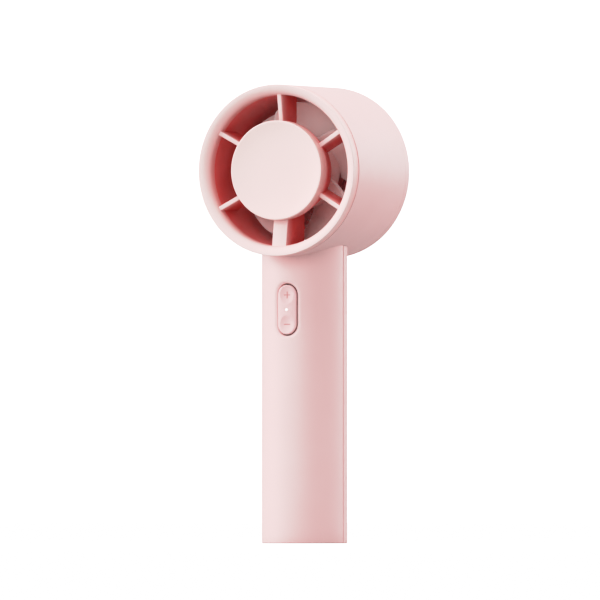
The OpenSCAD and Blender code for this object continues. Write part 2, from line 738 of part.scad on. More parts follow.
module charge_chip() color([0.12, 0.12, 0.13])
    box([-2, 2], [1.2, 5.2], [charge_z + charge_t, charge_z + charge_t + 1]);

// ---- Battery ----

module battery_cell() color([0.20, 0.42, 0.62]) translate([0, 0, cell_z]) rotate_extrude() difference() {
    square([cell_r, cell_len]);
    corner_cut([cell_r, 0], 0.8, [-1, 1]);
    corner_cut([cell_r, cell_len], 0.8, [-1, -1]);
    translate([cell_r, cell_len - 2.4]) circle(0.35);
}

module battery_cradle() color([0.85, 0.84, 0.82]) difference() {
    union() {
        for (z = [cradle_z, cradle_top_z - cradle_wall]) translate([0, 0, z])
            cylinder(r = cradle_r, h = cradle_wall);
        difference() {
            tube(cradle_r, cradle_ir, cradle_z, cradle_top_z);
            // the cell goes in through the open front
            box([-cell_r * 0.8, cell_r * 0.8], [-cradle_r - 1, 0],
                [cradle_z + cradle_wall, cradle_top_z - cradle_wall]);
        }
    }
    // ways for the tabs and leads at the back
    for (z = [tab_z - 0.5, cell_top_z - 0.2])
        box([-notch_w / 2, notch_w / 2], [cradle_ir - 1.6, cradle_r + 1], [z, z + tab_t + 0.7]);
}

module battery_pads() color([0.25, 0.25, 0.27]) for (z = [foam_z, cell_top_z + tab_t])
    translate([0, 0, z]) cylinder(r = cell_r - 2, h = foam_t);

module cell_tabs() color([0.78, 0.77, 0.72]) {
    for (t = [[lead_xs[1], tab_z], [lead_xs[2], cell_top_z]])
        box([t[0] - 1.2, t[0] + 1.2], [-4, lead_y + 0.6], [t[1], t[1] + tab_t]);
}

// A lead that rises behind the cradle and turns forward into the power socket
function riser(z0) = round_path([[lead_y, z0], [lead_y, socket_z + socket_h / 2],
    [pcb_back + socket_h - 1.4, socket_z + socket_h / 2]], 3);

module battery_leads() color([0.75, 0.12, 0.12]) {
    lead(lead_xs[1], riser(cell_z), lead_r);
    lead(lead_xs[2], riser(cell_top_z + tab_t), lead_r);
}

module charge_leads() color([0.15, 0.15, 0.16]) for (x = [lead_xs[0], lead_xs[3]])
    lead(x, riser(charge_z + charge_t), lead_r);

module motor_leads() color([0.75, 0.12, 0.12]) for (x = motor_lead_xs)
    lead(x, round_path([[motor_lead_y, motor_socket_z - 1.6], [motor_lead_y, motor_lead_z],
        [-motor_lead_f, motor_lead_z], [-motor_lead_f, head_z - flange_r - 1]], 1.6), lead_r);

// ---- Motor ----

module motor_base() color([0.78, 0.79, 0.81]) head_frame() difference() {
    rotate_extrude() polygon([[0, hub_f + 0.3], [tube_r + 0.5, hub_f + 0.3], [tube_r + 0.5, floor_f],
        [flange_r, floor_f], [flange_r, board_f], [tube_r, board_f], [tube_r, tube_top_f], [0, tube_top_f]]);
    translate([0, 0, hub_f]) cylinder(r = bearing_r, h = rear_bearing_f + bearing_w - hub_f);
    translate([0, 0, front_bearing_f]) cylinder(r = bearing_r, h = bearing_w + 1);
    cylinder(r = shaft_r + 0.7, h = front_f);
    motor_screw_places() translate([0, 0, floor_f - eps]) cylinder(r = screw_r, h = flange_t + 2 * eps);
}

module ball_bearing(f) {
    difference() {
        tube(bearing_r, shaft_r + shaft_run, f, f + bearing_w);
        for (z = [f - eps, f + bearing_w - 0.2]) tube(bearing_r - 0.5, shaft_r + 0.5, z, z + 0.2 + eps);
    }
}

module front_bearing() color("silver") head_frame() ball_bearing(front_bearing_f);
module rear_bearing() color("silver") head_frame() ball_bearing(rear_bearing_f);

module motor_screws() color("silver") head_frame() motor_screw_places()
    translate([0, 0, hub_f + screw_head_h]) mirror([0, 0, 1])
        screw(floor_f - hub_f - screw_head_h + flange_t);

module tooth_places() {
    for (i = [0:tooth_count - 1]) rotate([0, 0, 360 * i / tooth_count]) children();
}

module stator_core() color([0.45, 0.46, 0.50]) head_frame() translate([0, 0, core_f])
    linear_extrude(core_top_f - core_f) difference() {
        union() {
            circle(tube_r + 1.7);
            tooth_places() translate([tube_r + 1, -tooth_w / 2])
                square([core_r - shoe_t / 2 - tube_r - 1, tooth_w]);
            difference() {
                circle(core_r);
                circle(core_r - shoe_t);
                for (i = [0:tooth_count - 1]) rotate(360 * (i + 0.5) / tooth_count)
                    translate([core_r - 3, -slot_w / 2]) square([6, slot_w]);
            }
        }
        circle(tube_r);
    }

module stator_windings() color([0.72, 0.40, 0.22]) head_frame() tooth_places() difference() {
    coil_w = tooth_w + 2 * coil_t;
    translate([tube_r + 1.8, -coil_w / 2, coil_f])
        cube([core_r - 1.7 - tube_r - 1.8, coil_w, coil_top_f - coil_f]);
    translate([tube_r, -tooth_w / 2, core_f]) cube([core_r, tooth_w, core_top_f - core_f]);
}

module driver_board() color([0.10, 0.35, 0.22]) head_frame()
    tube(flange_r + 2, tube_r + 0.05, board_f, board_top_f);

module driver_chip() color([0.12, 0.12, 0.13]) head_frame()
    translate([-1.6, tube_r + 1.4, board_top_f]) cube([3.2, 3.2, 0.9]);

module hall_sensors() color([0.16, 0.16, 0.17]) head_frame() for (i = [0:2]) rotate([0, 0, 150 + 40 * i])
    translate([tube_r + 3, -0.9, board_top_f]) cube([1.6, 1.8, 0.8]);

// ---- Rotor ----

module rotor_can() color([0.60, 0.61, 0.64]) head_frame() difference() {
    union() {
        tube(can_r, can_ir, can_f, can_top_f);
        translate([0, 0, can_in_f]) cylinder(r = can_r, h = can_wall);
        translate([0, 0, can_in_f - 0.1]) cylinder(r = shaft_r + 1.4, h = shaft_top_f - can_in_f + 0.1);
    }
    translate([0, 0, can_in_f - 1]) cylinder(r = shaft_r, h = 4);
    for (i = [0:5]) rotate([0, 0, 60 * i]) translate([8.4, 0, can_in_f - 1]) cylinder(r = 1.6, h = 4);
}

module magnet_ring() color([0.30, 0.30, 0.32]) head_frame()
    tube(can_ir, magnet_ir, core_f - 0.6, core_top_f + 0.6);

module motor_shaft() color([0.85, 0.86, 0.88]) head_frame() translate([0, 0, shaft_end_f]) rotate_extrude()
    difference() {
        square([shaft_r, shaft_top_f - shaft_end_f]);
        corner_cut([shaft_r, 0], 0.3, [-1, 1]);
        translate([shaft_r - 0.4, hub_f - 0.1 - shaft_end_f]) square([1, 0.4]);
    }

module shaft_clip() color([0.30, 0.30, 0.32]) head_frame() difference() {
    tube(shaft_r + 1.1, shaft_r - 0.4, hub_f - 0.1, hub_f + 0.3);
    translate([0, -0.9, hub_f - 1]) cube([shaft_r + 2, 1.8, 3]);
}

module preload_spring() color([0.70, 0.71, 0.74]) head_frame()
    tube(shaft_r + 1.1, shaft_r + 0.05, tube_top_f + 0.1, can_in_f - 0.1);

// A blade, from its rear edge at z = 0 to its front edge
module blade() {
    linear_extrude(height = blade_len, twist = -blade_turn, slices = 14, $fn = 16)
        polygon(concat(
            [for (i = [0:6]) blade_point(i / 6, -blade_angle / 2)],
            [for (i = [6:-1:0]) blade_point(i / 6, blade_angle / 2)]));
}

function blade_point(t, turn) =
    let (r = rotor_hub_r - 1 + t * (tip_r + 1 - rotor_hub_r + 1), a = -blade_sweep * (r - blade_mid_r) + turn)
    [r * cos(a), r * sin(a)];

module impeller() color([0.88, 0.68, 0.67]) head_frame() {
    intersection() {
        for (i = [0:blade_count - 1]) rotate([0, 0, blade_first - blade_turn - 360 * i / blade_count])
            translate([0, 0, blade_rear_f]) blade();
        rotate_extrude() difference() {
            translate([rotor_hub_r - rotor_wall / 2, blade_rear_f - 1])
                square([tip_r - rotor_hub_r + rotor_wall / 2, blade_len + 2]);
            corner_cut([tip_r, blade_f], tip_round, [-1, -1]);
            corner_cut([tip_r, blade_rear_f], tip_round, [-1, 1]);
            translate([0, blade_f]) square([tip_r + 1, 2]);
            translate([0, blade_rear_f - 2]) square([tip_r + 1, 2]);
        }
    }
    difference() {
        rotate_extrude() difference() {
            translate([0, rotor_rear_f]) square([rotor_hub_r, rotor_f - rotor_rear_f]);
            corner_cut([rotor_hub_r, rotor_rear_f], rotor_nose, [-1, 1]);
        }
        rotate_extrude() difference() {
            translate([insert_boss_r, insert_rear_f])
                square([rotor_hub_r - rotor_wall - insert_boss_r, rotor_f - insert_rear_f + 1]);
            corner_cut([rotor_hub_r - rotor_wall, insert_rear_f], rotor_nose - rotor_wall, [-1, 1]);
        }
        translate([0, 0, rotor_rear_f - 1]) cylinder(r = insert_r, h = rotor_f - rotor_rear_f + 2);
        translate([0, 0, rotor_rear_f - 1]) cylinder(r = 4, h = insert_rear_f - rotor_rear_f + 1);
    }
    difference() {
        for (i = [0:2]) rotate([0, 0, 60 * i]) translate([-rotor_hub_r + 0.7, -0.5, insert_rear_f - 0.5])
            cube([rotor_hub_d - 1.4, 1, 3]);
        translate([0, 0, insert_rear_f - 2]) cylinder(r = insert_boss_r - 0.5, h = 8);
    }
}

module impeller_insert() color([0.80, 0.66, 0.32]) head_frame()
    tube(insert_r, shaft_r, insert_rear_f, rotor_f - 0.4);

module impeller_washer() color("silver") head_frame()
    tube(3.6, shaft_r + 0.1, insert_rear_f - washer_t, insert_rear_f);

module impeller_nut() color("silver") head_frame() difference() {
    translate([0, 0, nut_f]) cylinder(d = nut_flat / cos(30), h = nut_t, $fn = 6);
    translate([0, 0, nut_f - 1]) cylinder(r = shaft_r, h = nut_t + 2);
}

body_shell();
rear_cover();
front_guard();
hub_cap();
air_duct();
rear_grille();
base_cap();
base_pad();
base_screws();
key_pad();
light_pipe();
key_bracket();
bracket_screws();
main_board();
board_screws();
tact_switches();
indicator_led();
control_chip();
power_coil();
board_capacitors();
power_socket();
motor_socket();
charge_board();
charge_board_screws();
usb_c_socket();
charge_chip();
battery_cell();
battery_cradle();
battery_pads();
cell_tabs();
battery_leads();
charge_leads();
motor_leads();
motor_base();
front_bearing();
rear_bearing();
motor_screws();
stator_core();
stator_windings();
driver_board();
driver_chip();
hall_sensors();
rotor_can();
magnet_ring();
motor_shaft();
shaft_clip();
preload_spring();
impeller();
impeller_insert();
impeller_washer();
impeller_nut();
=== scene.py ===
"""Looks of the handheld fan: moulded shells, guard, impeller, key and every material."""

import json
import math

import bmesh
import bpy
from mathutils import Matrix, Vector


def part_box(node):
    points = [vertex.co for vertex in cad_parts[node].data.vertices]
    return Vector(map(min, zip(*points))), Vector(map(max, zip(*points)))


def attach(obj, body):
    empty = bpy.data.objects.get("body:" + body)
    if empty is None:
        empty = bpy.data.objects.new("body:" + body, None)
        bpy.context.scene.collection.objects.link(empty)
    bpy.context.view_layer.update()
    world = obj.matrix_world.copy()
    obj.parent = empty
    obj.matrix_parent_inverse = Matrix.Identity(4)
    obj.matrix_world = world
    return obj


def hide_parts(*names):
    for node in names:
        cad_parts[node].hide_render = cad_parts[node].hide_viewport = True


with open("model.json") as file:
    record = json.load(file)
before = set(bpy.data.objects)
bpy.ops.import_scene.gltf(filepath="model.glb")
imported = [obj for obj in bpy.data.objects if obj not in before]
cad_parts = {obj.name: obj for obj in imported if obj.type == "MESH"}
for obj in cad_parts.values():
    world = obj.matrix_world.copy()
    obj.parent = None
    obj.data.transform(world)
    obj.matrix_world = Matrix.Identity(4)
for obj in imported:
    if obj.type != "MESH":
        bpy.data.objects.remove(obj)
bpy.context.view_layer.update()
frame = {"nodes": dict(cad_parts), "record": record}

MM = 0.001
ROUND_STEPS = 192


def ends(node, axis):
    """Lowest and highest place of a CAD node along one axis, in millimetres."""
    low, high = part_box(node)
    return low[axis] / MM, high[axis] / MM


# ---- Sizes, in millimetres. f runs forward along the head's axis ----

HEAD_R = ends("front_guard", 0)[1]
HEAD_Z = sum(ends("front_guard", 2)) / 2
FRONT_F = -ends("front_guard", 1)[0]
HANDLE_R = ends("rear_cover", 1)[1]
HANDLE_WALL = 2.0
SEAM_HALF = 0.25
DUCT_OUT = ends("air_duct", 0)[1]
DUCT_R = DUCT_OUT - 1.2
DUCT_F = ends("air_duct", 1)[1]
BARREL_F = DUCT_F + 1.6
BARREL_INNER = HEAD_R - 2.0
RING_F = FRONT_F - 5.0
SEAT_R = HEAD_R - 0.8
REAR_JOINT = 0.04
HUB_R = ends("hub_cap", 0)[1]
CAP_F = FRONT_F - 5.0
CAP_BACK = FRONT_F - 2.2
CAP_DISH = 1.85
HUB_REAR_R = 18.0
HUB_REAR_F = FRONT_F - 19.7
HUB_WALL = 1.6
STRUT_WIDE, STRUT_THIN = 6.9, 2.0
KEY_Z = sum(ends("light_pipe", 2)) / 2
KEY_W = 9.3
KEY_LEN = 22.0
SWITCH_DZ = 6.5
USB_Z = sum(ends("usb_c_socket", 2)) / 2
ROTOR_REAR = -ends("impeller", 1)[1]
ROTOR_F = -ends("impeller", 1)[0]
INSERT_REAR = ROTOR_REAR + 1.4
BLADE_COUNT = 5
BLADE_WALL = 1.25
BLADE_REAR = ROTOR_REAR + 0.1
BLADE_FRONT = HUB_REAR_F - 3.8
BLADE_LEN = BLADE_FRONT - BLADE_REAR
BLADE_FIRST = 115.5
BLADE_PITCH = 5.656
BLADE_SWEEP = 1.45
BLADE_TIP = 30.8

HEAD = Matrix.Translation((0, 0, HEAD_Z)) @ Matrix.Rotation(math.radians(90), 4, "X")


# ---- Node helpers and shared effects ----

def wire(tree, kind, sockets=None, **settings):
    """One node with its settings, its socket values and the links into it."""
    node = tree.nodes.new(kind)
    for name, value in settings.items():
        setattr(node, name, value)
    for name, value in (sockets or {}).items():
        if isinstance(value, bpy.types.NodeSocket):
            tree.links.new(value, node.inputs[name])
        else:
            node.inputs[name].default_value = value
    return node


def effect(name, inputs, outputs):
    """An empty effect group with its named sockets."""
    tree = bpy.data.node_groups.new(name, "ShaderNodeTree")
    for label, kind, value in inputs:
        socket = tree.interface.new_socket(label, in_out="INPUT", socket_type=kind)
        if value is not None:
            socket.default_value = value
    for label, kind in outputs:
        tree.interface.new_socket(label, in_out="OUTPUT", socket_type=kind)
    return tree, tree.nodes.new("NodeGroupInput"), tree.nodes.new("NodeGroupOutput")


def maths(tree, operation, a, b=0.0):
    return wire(tree, "ShaderNodeMath", {0: a, 1: b}, operation=operation).outputs[0]


def make_moulded_skin():
    """Fine sparkle of a textured mould, with slow drifts of tone and gloss."""
    tree, given, out = effect(
        "moulded_skin",
        [("Vector", "NodeSocketVector", None), ("Grain", "NodeSocketFloat", 4500.0)],
        [("Height", "NodeSocketFloat"), ("Gloss", "NodeSocketFloat"), ("Tone", "NodeSocketFloat")])
    place, grain = given.outputs["Vector"], given.outputs["Grain"]
    pits = wire(tree, "ShaderNodeTexVoronoi", {"Vector": place, "Scale": grain}, feature="SMOOTH_F1")
    rough = wire(tree, "ShaderNodeTexNoise", {"Vector": place, "Scale": maths(tree, "MULTIPLY", grain, 0.37),
                                              "Detail": 3.0, "Roughness": 0.6})
    height = maths(tree, "ADD", maths(tree, "MULTIPLY", pits.outputs["Distance"], 0.6), rough.outputs[0])
    gloss = wire(tree, "ShaderNodeTexNoise", {"Vector": place, "Scale": 210.0, "Detail": 4.0})
    tone = wire(tree, "ShaderNodeTexNoise", {"Vector": place, "Scale": 34.0, "Detail": 2.0})
    tree.links.new(height, out.inputs["Height"])
    tree.links.new(gloss.outputs[0], out.inputs["Gloss"])
    tree.links.new(tone.outputs[0], out.inputs["Tone"])
    return tree


def make_painted_shade_tint():
    """Mask for painted shade: grows from 0 to 1 going back along the head's axis, on faces that don't look
    forward.
    """
    tree, given, out = effect(
        "painted_shade_tint",
        [("Vector", "NodeSocketVector", None), ("Normal", "NodeSocketVector", None),
         ("Near", "NodeSocketFloat", -0.03), ("Far", "NodeSocketFloat", 0.0)],
        [("Mask", "NodeSocketFloat")])
    split = wire(tree, "ShaderNodeSeparateXYZ", {0: given.outputs["Vector"]})
    ramp = wire(tree, "ShaderNodeMapRange",
                {"Value": split.outputs["Y"], "From Min": given.outputs["Near"],
                 "From Max": given.outputs["Far"]},
                interpolation_type="SMOOTHSTEP")
    facing = wire(tree, "ShaderNodeSeparateXYZ", {0: given.outputs["Normal"]})
    side = wire(tree, "ShaderNodeMapRange",
                {"Value": facing.outputs["Y"], "From Min": -0.95, "From Max": -0.15},
                interpolation_type="SMOOTHSTEP")
    tree.links.new(maths(tree, "MULTIPLY", ramp.outputs[0], side.outputs[0]), out.inputs["Mask"])
    return tree


def make_tool_lines():
    """Fine lines left by turning or rolling, with faint stains in the gloss."""
    tree, given, out = effect(
        "tool_lines",
        [("Vector", "NodeSocketVector", None), ("Pitch", "NodeSocketFloat", 6000.0)],
        [("Height", "NodeSocketFloat"), ("Gloss", "NodeSocketFloat")])
    stretch = wire(tree, "ShaderNodeMapping", {"Vector": given.outputs["Vector"], "Scale": (0.08, 1.0, 0.08)})
    lines = wire(tree, "ShaderNodeTexNoise", {"Vector": stretch.outputs[0], "Scale": given.outputs["Pitch"],
                                              "Detail": 4.0})
    stains = wire(tree, "ShaderNodeTexNoise",
                  {"Vector": given.outputs["Vector"], "Scale": 320.0, "Detail": 5.0})
    tree.links.new(lines.outputs[0], out.inputs["Height"])
    tree.links.new(stains.outputs[0], out.inputs["Gloss"])
    return tree


moulded_skin = make_moulded_skin()
painted_shade_tint = make_painted_shade_tint()
tool_lines = make_tool_lines()


def blank_material(name):
    """A node material with its shader, its output and the object's coordinates."""
    material = bpy.data.materials.new(name)
    material.use_nodes = True
    tree = material.node_tree
    tree.nodes.clear()
    shader = tree.nodes.new("ShaderNodeBsdfPrincipled")
    out = tree.nodes.new("ShaderNodeOutputMaterial")
    tree.links.new(shader.outputs[0], out.inputs["Surface"])
    place = tree.nodes.new("ShaderNodeTexCoord").outputs["Object"]
    return material, tree, shader, place


def place_group(tree, group, **sockets):
    node = tree.nodes.new("ShaderNodeGroup")
    node.node_tree = group
    for name, value in sockets.items():
        if isinstance(value, bpy.types.NodeSocket):
            tree.links.new(value, node.inputs[name])
        else:
            node.inputs[name].default_value = value
    return node


def blend_colours(tree, mask, low, high):
    """Mixes two colours, or colour sockets, by a mask."""
    mix = tree.nodes.new("ShaderNodeMix")
    mix.data_type = "RGBA"
    for socket, value in ((mix.inputs[0], mask), (mix.inputs[6], low), (mix.inputs[7], high)):
        if isinstance(value, bpy.types.NodeSocket):
            tree.links.new(value, socket)
        else:
            socket.default_value = value
    return mix.outputs[2]


def spread(tree, value, low, high, start=0.3, stop=0.7):
    """Maps a noise value onto a narrow range."""
    return wire(tree, "ShaderNodeMapRange", {"Value": value, "From Min": start, "From Max": stop,
                                             "To Min": low, "To Max": high}).outputs[0]


def dull(tree, shader, value, low, high):
    """Lets a noise value vary the roughness between two limits."""
    tree.links.new(spread(tree, value, low, high), shader.inputs["Roughness"])


def tinge(tree, shader, mask, low, high):
    """Mixes two plain colours by a mask into the base colour."""
    tree.links.new(blend_colours(tree, mask, (*low, 1), (*high, 1)), shader.inputs["Base Color"])


def bump(tree, shader, height, distance, strength=0.5):
    node = wire(tree, "ShaderNodeBump", {"Height": height, "Distance": distance, "Strength": strength})
    tree.links.new(node.outputs[0], shader.inputs["Normal"])


def moulded(name, colour, roughness=0.50, drift=0.04, painted_shade=None, reach=(-30.0, 0.0), edge_highlight=None,
            grain=4500.0, texture=0.000012, specular=0.28):
    """Satin moulded plastic. The optional deep-red colour is painted shade: mixed in inside the head over
    reach, it stands in for the shade and red bounce light there.
    """
    material, tree, shader, place = blank_material(name)
    skin = place_group(tree, moulded_skin, Vector=place, Grain=grain)
    pale = (*colour, 1)
    darker_tone = (colour[0] * (1 - drift * 0.4), colour[1] * (1 - drift), colour[2] * (1 - drift), 1)
    surface = blend_colours(tree, spread(tree, skin.outputs["Tone"], 0, 1), pale, darker_tone)
    # Painted shade: deep red on inner faces towards the back of the head.
    if painted_shade:
        shade_mask = place_group(tree, painted_shade_tint, Vector=place, Normal=place.node.outputs["Normal"],
                           Near=reach[0] * MM, Far=reach[1] * MM)
        surface = blend_colours(tree, shade_mask.outputs["Mask"], surface, (*painted_shade, 1))
    # Painted highlight: a pale colour on the edges marked in the mesh, where light catches them.
    if edge_highlight:
        edge = wire(tree, "ShaderNodeAttribute", attribute_name="edge_highlight")
        surface = blend_colours(tree, edge.outputs["Fac"], surface, (*edge_highlight, 1))
    tree.links.new(surface, shader.inputs["Base Color"])
    dull(tree, shader, skin.outputs["Gloss"], roughness - 0.05, roughness + 0.05)
    shader.inputs["Specular IOR Level"].default_value = specular
    bump(tree, shader, skin.outputs["Height"], texture)
    return material


def metal(name, colour, roughness, pitch=6000.0, lines=0.000006, tarnish=0.85):
    """Bare metal with tool lines and a slightly uneven shine."""
    material, tree, shader, place = blank_material(name)
    mark = place_group(tree, tool_lines, Vector=place, Pitch=pitch)
    stained = tuple(c * tarnish for c in colour)
    tinge(tree, shader, spread(tree, mark.outputs["Gloss"], 0, 1), colour, stained)
    dull(tree, shader, mark.outputs["Gloss"], roughness * 0.8, roughness * 1.3)
    shader.inputs["Metallic"].default_value = 1.0
    bump(tree, shader, mark.outputs["Height"], lines)
    return material


def banded(name, low, high, pitch, axis, roughness, metallic=0.0, depth=0.00005, coat=0.0):
    """Parallel bands along one axis: wire turns or stacked sheets."""
    material, tree, shader, place = blank_material(name)
    wave = wire(tree, "ShaderNodeTexWave", {"Vector": place, "Scale": pitch, "Distortion": 0.6, "Detail": 1.0,
                                            "Detail Scale": 0.5}, bands_direction=axis)
    stain = wire(tree, "ShaderNodeTexNoise", {"Vector": place, "Scale": 500.0, "Detail": 3.0})
    tinge(tree, shader, wave.outputs["Fac"], low, high)
    dull(tree, shader, stain.outputs[0], roughness - 0.06, roughness + 0.08)
    shader.inputs["Metallic"].default_value = metallic
    shader.inputs["Coat Weight"].default_value = coat
    bump(tree, shader, wave.outputs["Fac"], depth)
    return material


def circuit(name):
    """Green solder mask over copper tracks, with a fine glass weave."""
    material, tree, shader, place = blank_material(name)
    turned = wire(tree, "ShaderNodeMapping", {"Vector": place, "Rotation": (0.3, 0.2, 0.785)})
    tracks = wire(tree, "ShaderNodeTexBrick", {
        "Vector": turned.outputs[0], "Scale": 260.0, "Mortar Size": 0.06, "Brick Width": 0.9,
        "Row Height": 0.22, "Color1": (0, 0, 0, 1), "Color2": (0.15, 0.15, 0.15, 1), "Mortar": (1, 1, 1, 1)})
    weave = wire(tree, "ShaderNodeTexVoronoi", {"Vector": place, "Scale": 2600.0})
    mask = wire(tree, "ShaderNodeRGBToBW", {0: tracks.outputs["Color"]}).outputs[0]
    green = blend_colours(tree, spread(tree, weave.outputs["Distance"], 0, 1), (0.012, 0.10, 0.045, 1),
                          (0.018, 0.13, 0.06, 1))
    tree.links.new(blend_colours(tree, mask, green, (0.05, 0.24, 0.10, 1)), shader.inputs["Base Color"])
    dull(tree, shader, weave.outputs["Distance"], 0.28, 0.40)
    bump(tree, shader, mask, 0.00003)
    return material


def cellular(name, colour, size, roughness, depth):
    """Foam or rubber with small closed cells."""
    material, tree, shader, place = blank_material(name)
    cells = wire(tree, "ShaderNodeTexVoronoi", {"Vector": place, "Scale": size}, feature="F1")
    drift = wire(tree, "ShaderNodeTexNoise", {"Vector": place, "Scale": 140.0, "Detail": 4.0})
    dark = tuple(c * 0.55 for c in colour)
    tinge(tree, shader, spread(tree, cells.outputs["Distance"], 0, 1, 0.1, 0.8), colour, dark)
    dull(tree, shader, drift.outputs[0], roughness - 0.06, roughness + 0.06)
    shader.inputs["Specular IOR Level"].default_value = 0.25
    bump(tree, shader, cells.outputs["Distance"], depth)
    return material


def lit_dot(name):
    """White light pipe with a faint glow and a milky body."""
    material, tree, shader, place = blank_material(name)
    haze = wire(tree, "ShaderNodeTexNoise", {"Vector": place, "Scale": 1500.0, "Detail": 3.0})
    tinge(tree, shader, haze.outputs[0], (0.95, 0.94, 0.93), (0.85, 0.83, 0.82))
    dull(tree, shader, haze.outputs[0], 0.18, 0.30)
    shader.inputs["Emission Color"].default_value = (1, 1, 1, 1)
    shader.inputs["Emission Strength"].default_value = 0.7
    shader.inputs["Coat Weight"].default_value = 0.4
    bump(tree, shader, haze.outputs[0], 0.00001)
    return material


PINK = (0.84, 0.535, 0.53)
PALE_PINK = (0.86, 0.60, 0.585)
CAP_PINK = (0.88, 0.61, 0.585)
# The deep red on the next line is painted shade, standing in for the shade and red bounce light inside the
# head.
PAINTED_SHADE_RED = (0.83, 0.125, 0.118)

FINISHES = {
    "shell": moulded("shell_pink_satin", PINK),
    # The guard and the cap take painted shade inside the head, and the duct liner is painted shade all over.
    "guard": moulded("guard_pink_satin", PALE_PINK, painted_shade=PAINTED_SHADE_RED, reach=(-30.5, -18.0)),
    "cap": moulded("cap_pale_satin", CAP_PINK, roughness=0.45, texture=0.000006, painted_shade=(0.80, 0.17, 0.155),
                   reach=(-30.4, -18.0)),
    "duct": moulded("duct_painted_shade_red", PAINTED_SHADE_RED, roughness=0.40),
    # The blades' pale edge colour is a painted highlight.
    "blades": moulded("blade_dusty_pink", (0.97, 0.80, 0.78), roughness=0.40, edge_highlight=(0.98, 0.93, 0.92),
                      texture=0.000006),
    "key": moulded("key_soft_pink", (0.83, 0.50, 0.50), roughness=0.5, texture=0.000016),
    "light": lit_dot("light_pipe_white"),
    "pad": cellular("pad_dusky_rubber", (0.30, 0.17, 0.17), 2600.0, 0.7, 0.00004),
    "inner_plastic": moulded("inner_natural_plastic", (0.63, 0.60, 0.56), roughness=0.5),
    "board": circuit("board_green_mask"),
    "chip": moulded("chip_black_epoxy", (0.018, 0.018, 0.02), roughness=0.55, grain=7000.0, texture=0.00002),
    "ceramic": moulded("ceramic_tan", (0.40, 0.26, 0.14), roughness=0.35, drift=0.15, grain=8000.0),
    "steel": metal("screw_steel", (0.50, 0.51, 0.53), 0.30),
    "bearing": metal("ground_bearing_steel", (0.60, 0.61, 0.63), 0.16, pitch=9000.0, lines=0.000002),
    "alloy": metal("turned_alloy", (0.62, 0.63, 0.65), 0.34, pitch=4200.0, lines=0.00001),
    "laminations": banded("stacked_laminations", (0.10, 0.105, 0.115), (0.26, 0.27, 0.29), 620.0, "Y", 0.42,
                          metallic=0.9, depth=0.00006),
    "magnet": metal("bonded_magnet_grey", (0.085, 0.085, 0.095), 0.55, tarnish=0.7),
    "winding": banded("enamelled_copper_turns", (0.22, 0.06, 0.022), (0.60, 0.23, 0.085), 900.0, "Z", 0.28,
                      metallic=0.6, depth=0.00012, coat=0.5),
    "cell_wrap": moulded("cell_blue_wrap", (0.035, 0.12, 0.28), roughness=0.27, drift=0.2, grain=900.0,
                         texture=0.00002),
    "nickel": metal("nickel_strip", (0.56, 0.53, 0.47), 0.22, pitch=7000.0),
    "foam": cellular("foam_charcoal", (0.045, 0.045, 0.05), 3200.0, 0.9, 0.00016),
    "lead_red": moulded("lead_red_jacket", (0.42, 0.018, 0.018), roughness=0.38, drift=0.2, grain=6000.0),
    "lead_black": moulded("lead_black_jacket", (0.016, 0.016, 0.018), roughness=0.40, drift=0.2,
                          grain=6000.0),
    "brass": metal("turned_brass", (0.56, 0.38, 0.12), 0.26, pitch=5200.0),
}
rear_finish = moulded("rear_grille_satin", PINK)
mark_finish = moulded("key_mark_pink", (0.56, 0.23, 0.22), roughness=0.4, texture=0.000005)

for row in frame["record"]["subparts"]:
    node = frame["nodes"][row["node"]]
    node.data.materials.clear()
    node.data.materials.append(FINISHES[row["material_slot"]])


# ---- Shape helpers ----

def soften(points):
    """Rounds the corners of an outline. A corner is (radius, f) or (radius, f, round)."""
    smooth = []
    count = len(points)
    for i, point in enumerate(points):
        corner = Vector(point[:2])
        if len(point) < 3:
            smooth.append(corner)
            continue
        before = (Vector(points[i - 1][:2]) - corner).normalized()
        after = (Vector(points[(i + 1) % count][:2]) - corner).normalized()
        half = math.acos(max(-1, min(1, before.dot(after)))) / 2
        middle = corner + (before + after).normalized() * point[2] / math.sin(half)
        start = corner + before * point[2] / math.tan(half) - middle
        stop = corner + after * point[2] / math.tan(half) - middle
        first = math.atan2(start.y, start.x)
        turn = (math.atan2(stop.y, stop.x) - first + math.pi) % math.tau - math.pi
        steps = max(3, round(abs(turn) / math.radians(90) * (10 if point[2] > 2 else 5)))
        smooth += [middle + Vector((math.cos(first + turn * k / steps), math.sin(first + turn * k / steps)))
                   * point[2] for k in range(steps + 1)]
    return smooth


def lathe(bm, outline, steps=ROUND_STEPS):
    """Turns a closed outline round the local Z axis."""
    smooth = soften(outline)
    corners = [bm.verts.new((p.x, 0, p.y)) for p in smooth]
    pairs = [(a, b) for a, b in zip(corners, corners[1:] + corners[:1]) if a.co.x + b.co.x > 0.001]
    edges = [bm.edges.new(pair) for pair in pairs]
    bmesh.ops.spin(bm, geom=corners + edges, cent=(0, 0, 0), axis=(0, 0, 1), angle=math.tau, steps=steps,
                   use_merge=True)
    return bm


def slab(bm, outline, thickness, soft, turn=0.0):
    """A bevelled plate whose outline lies in the plane of radius and f, turned round the axis."""
    others = set(bm.verts)
    corners = [bm.verts.new((r, -thickness / 2, f)) for r, f in outline]
    face = bm.faces.new(corners)
    grown = bmesh.ops.extrude_face_region(bm, geom=[face])["geom"]
    top = [v for v in grown if isinstance(v, bmesh.types.BMVert)]
    bmesh.ops.translate(bm, vec=(0, thickness, 0), verts=top)
    edges = list({e for v in corners + top for e in v.link_edges})
    bmesh.ops.bevel(bm, geom=edges, offset=soft, offset_type="OFFSET", segments=3, profile=0.5,
                    affect="EDGES", material=-1, clamp_overlap=True)
    plate = [v for v in bm.verts if v not in others]
    bmesh.ops.rotate(bm, cent=(0, 0, 0), matrix=Matrix.Rotation(turn, 3, "Z"), verts=plate)
    return bm


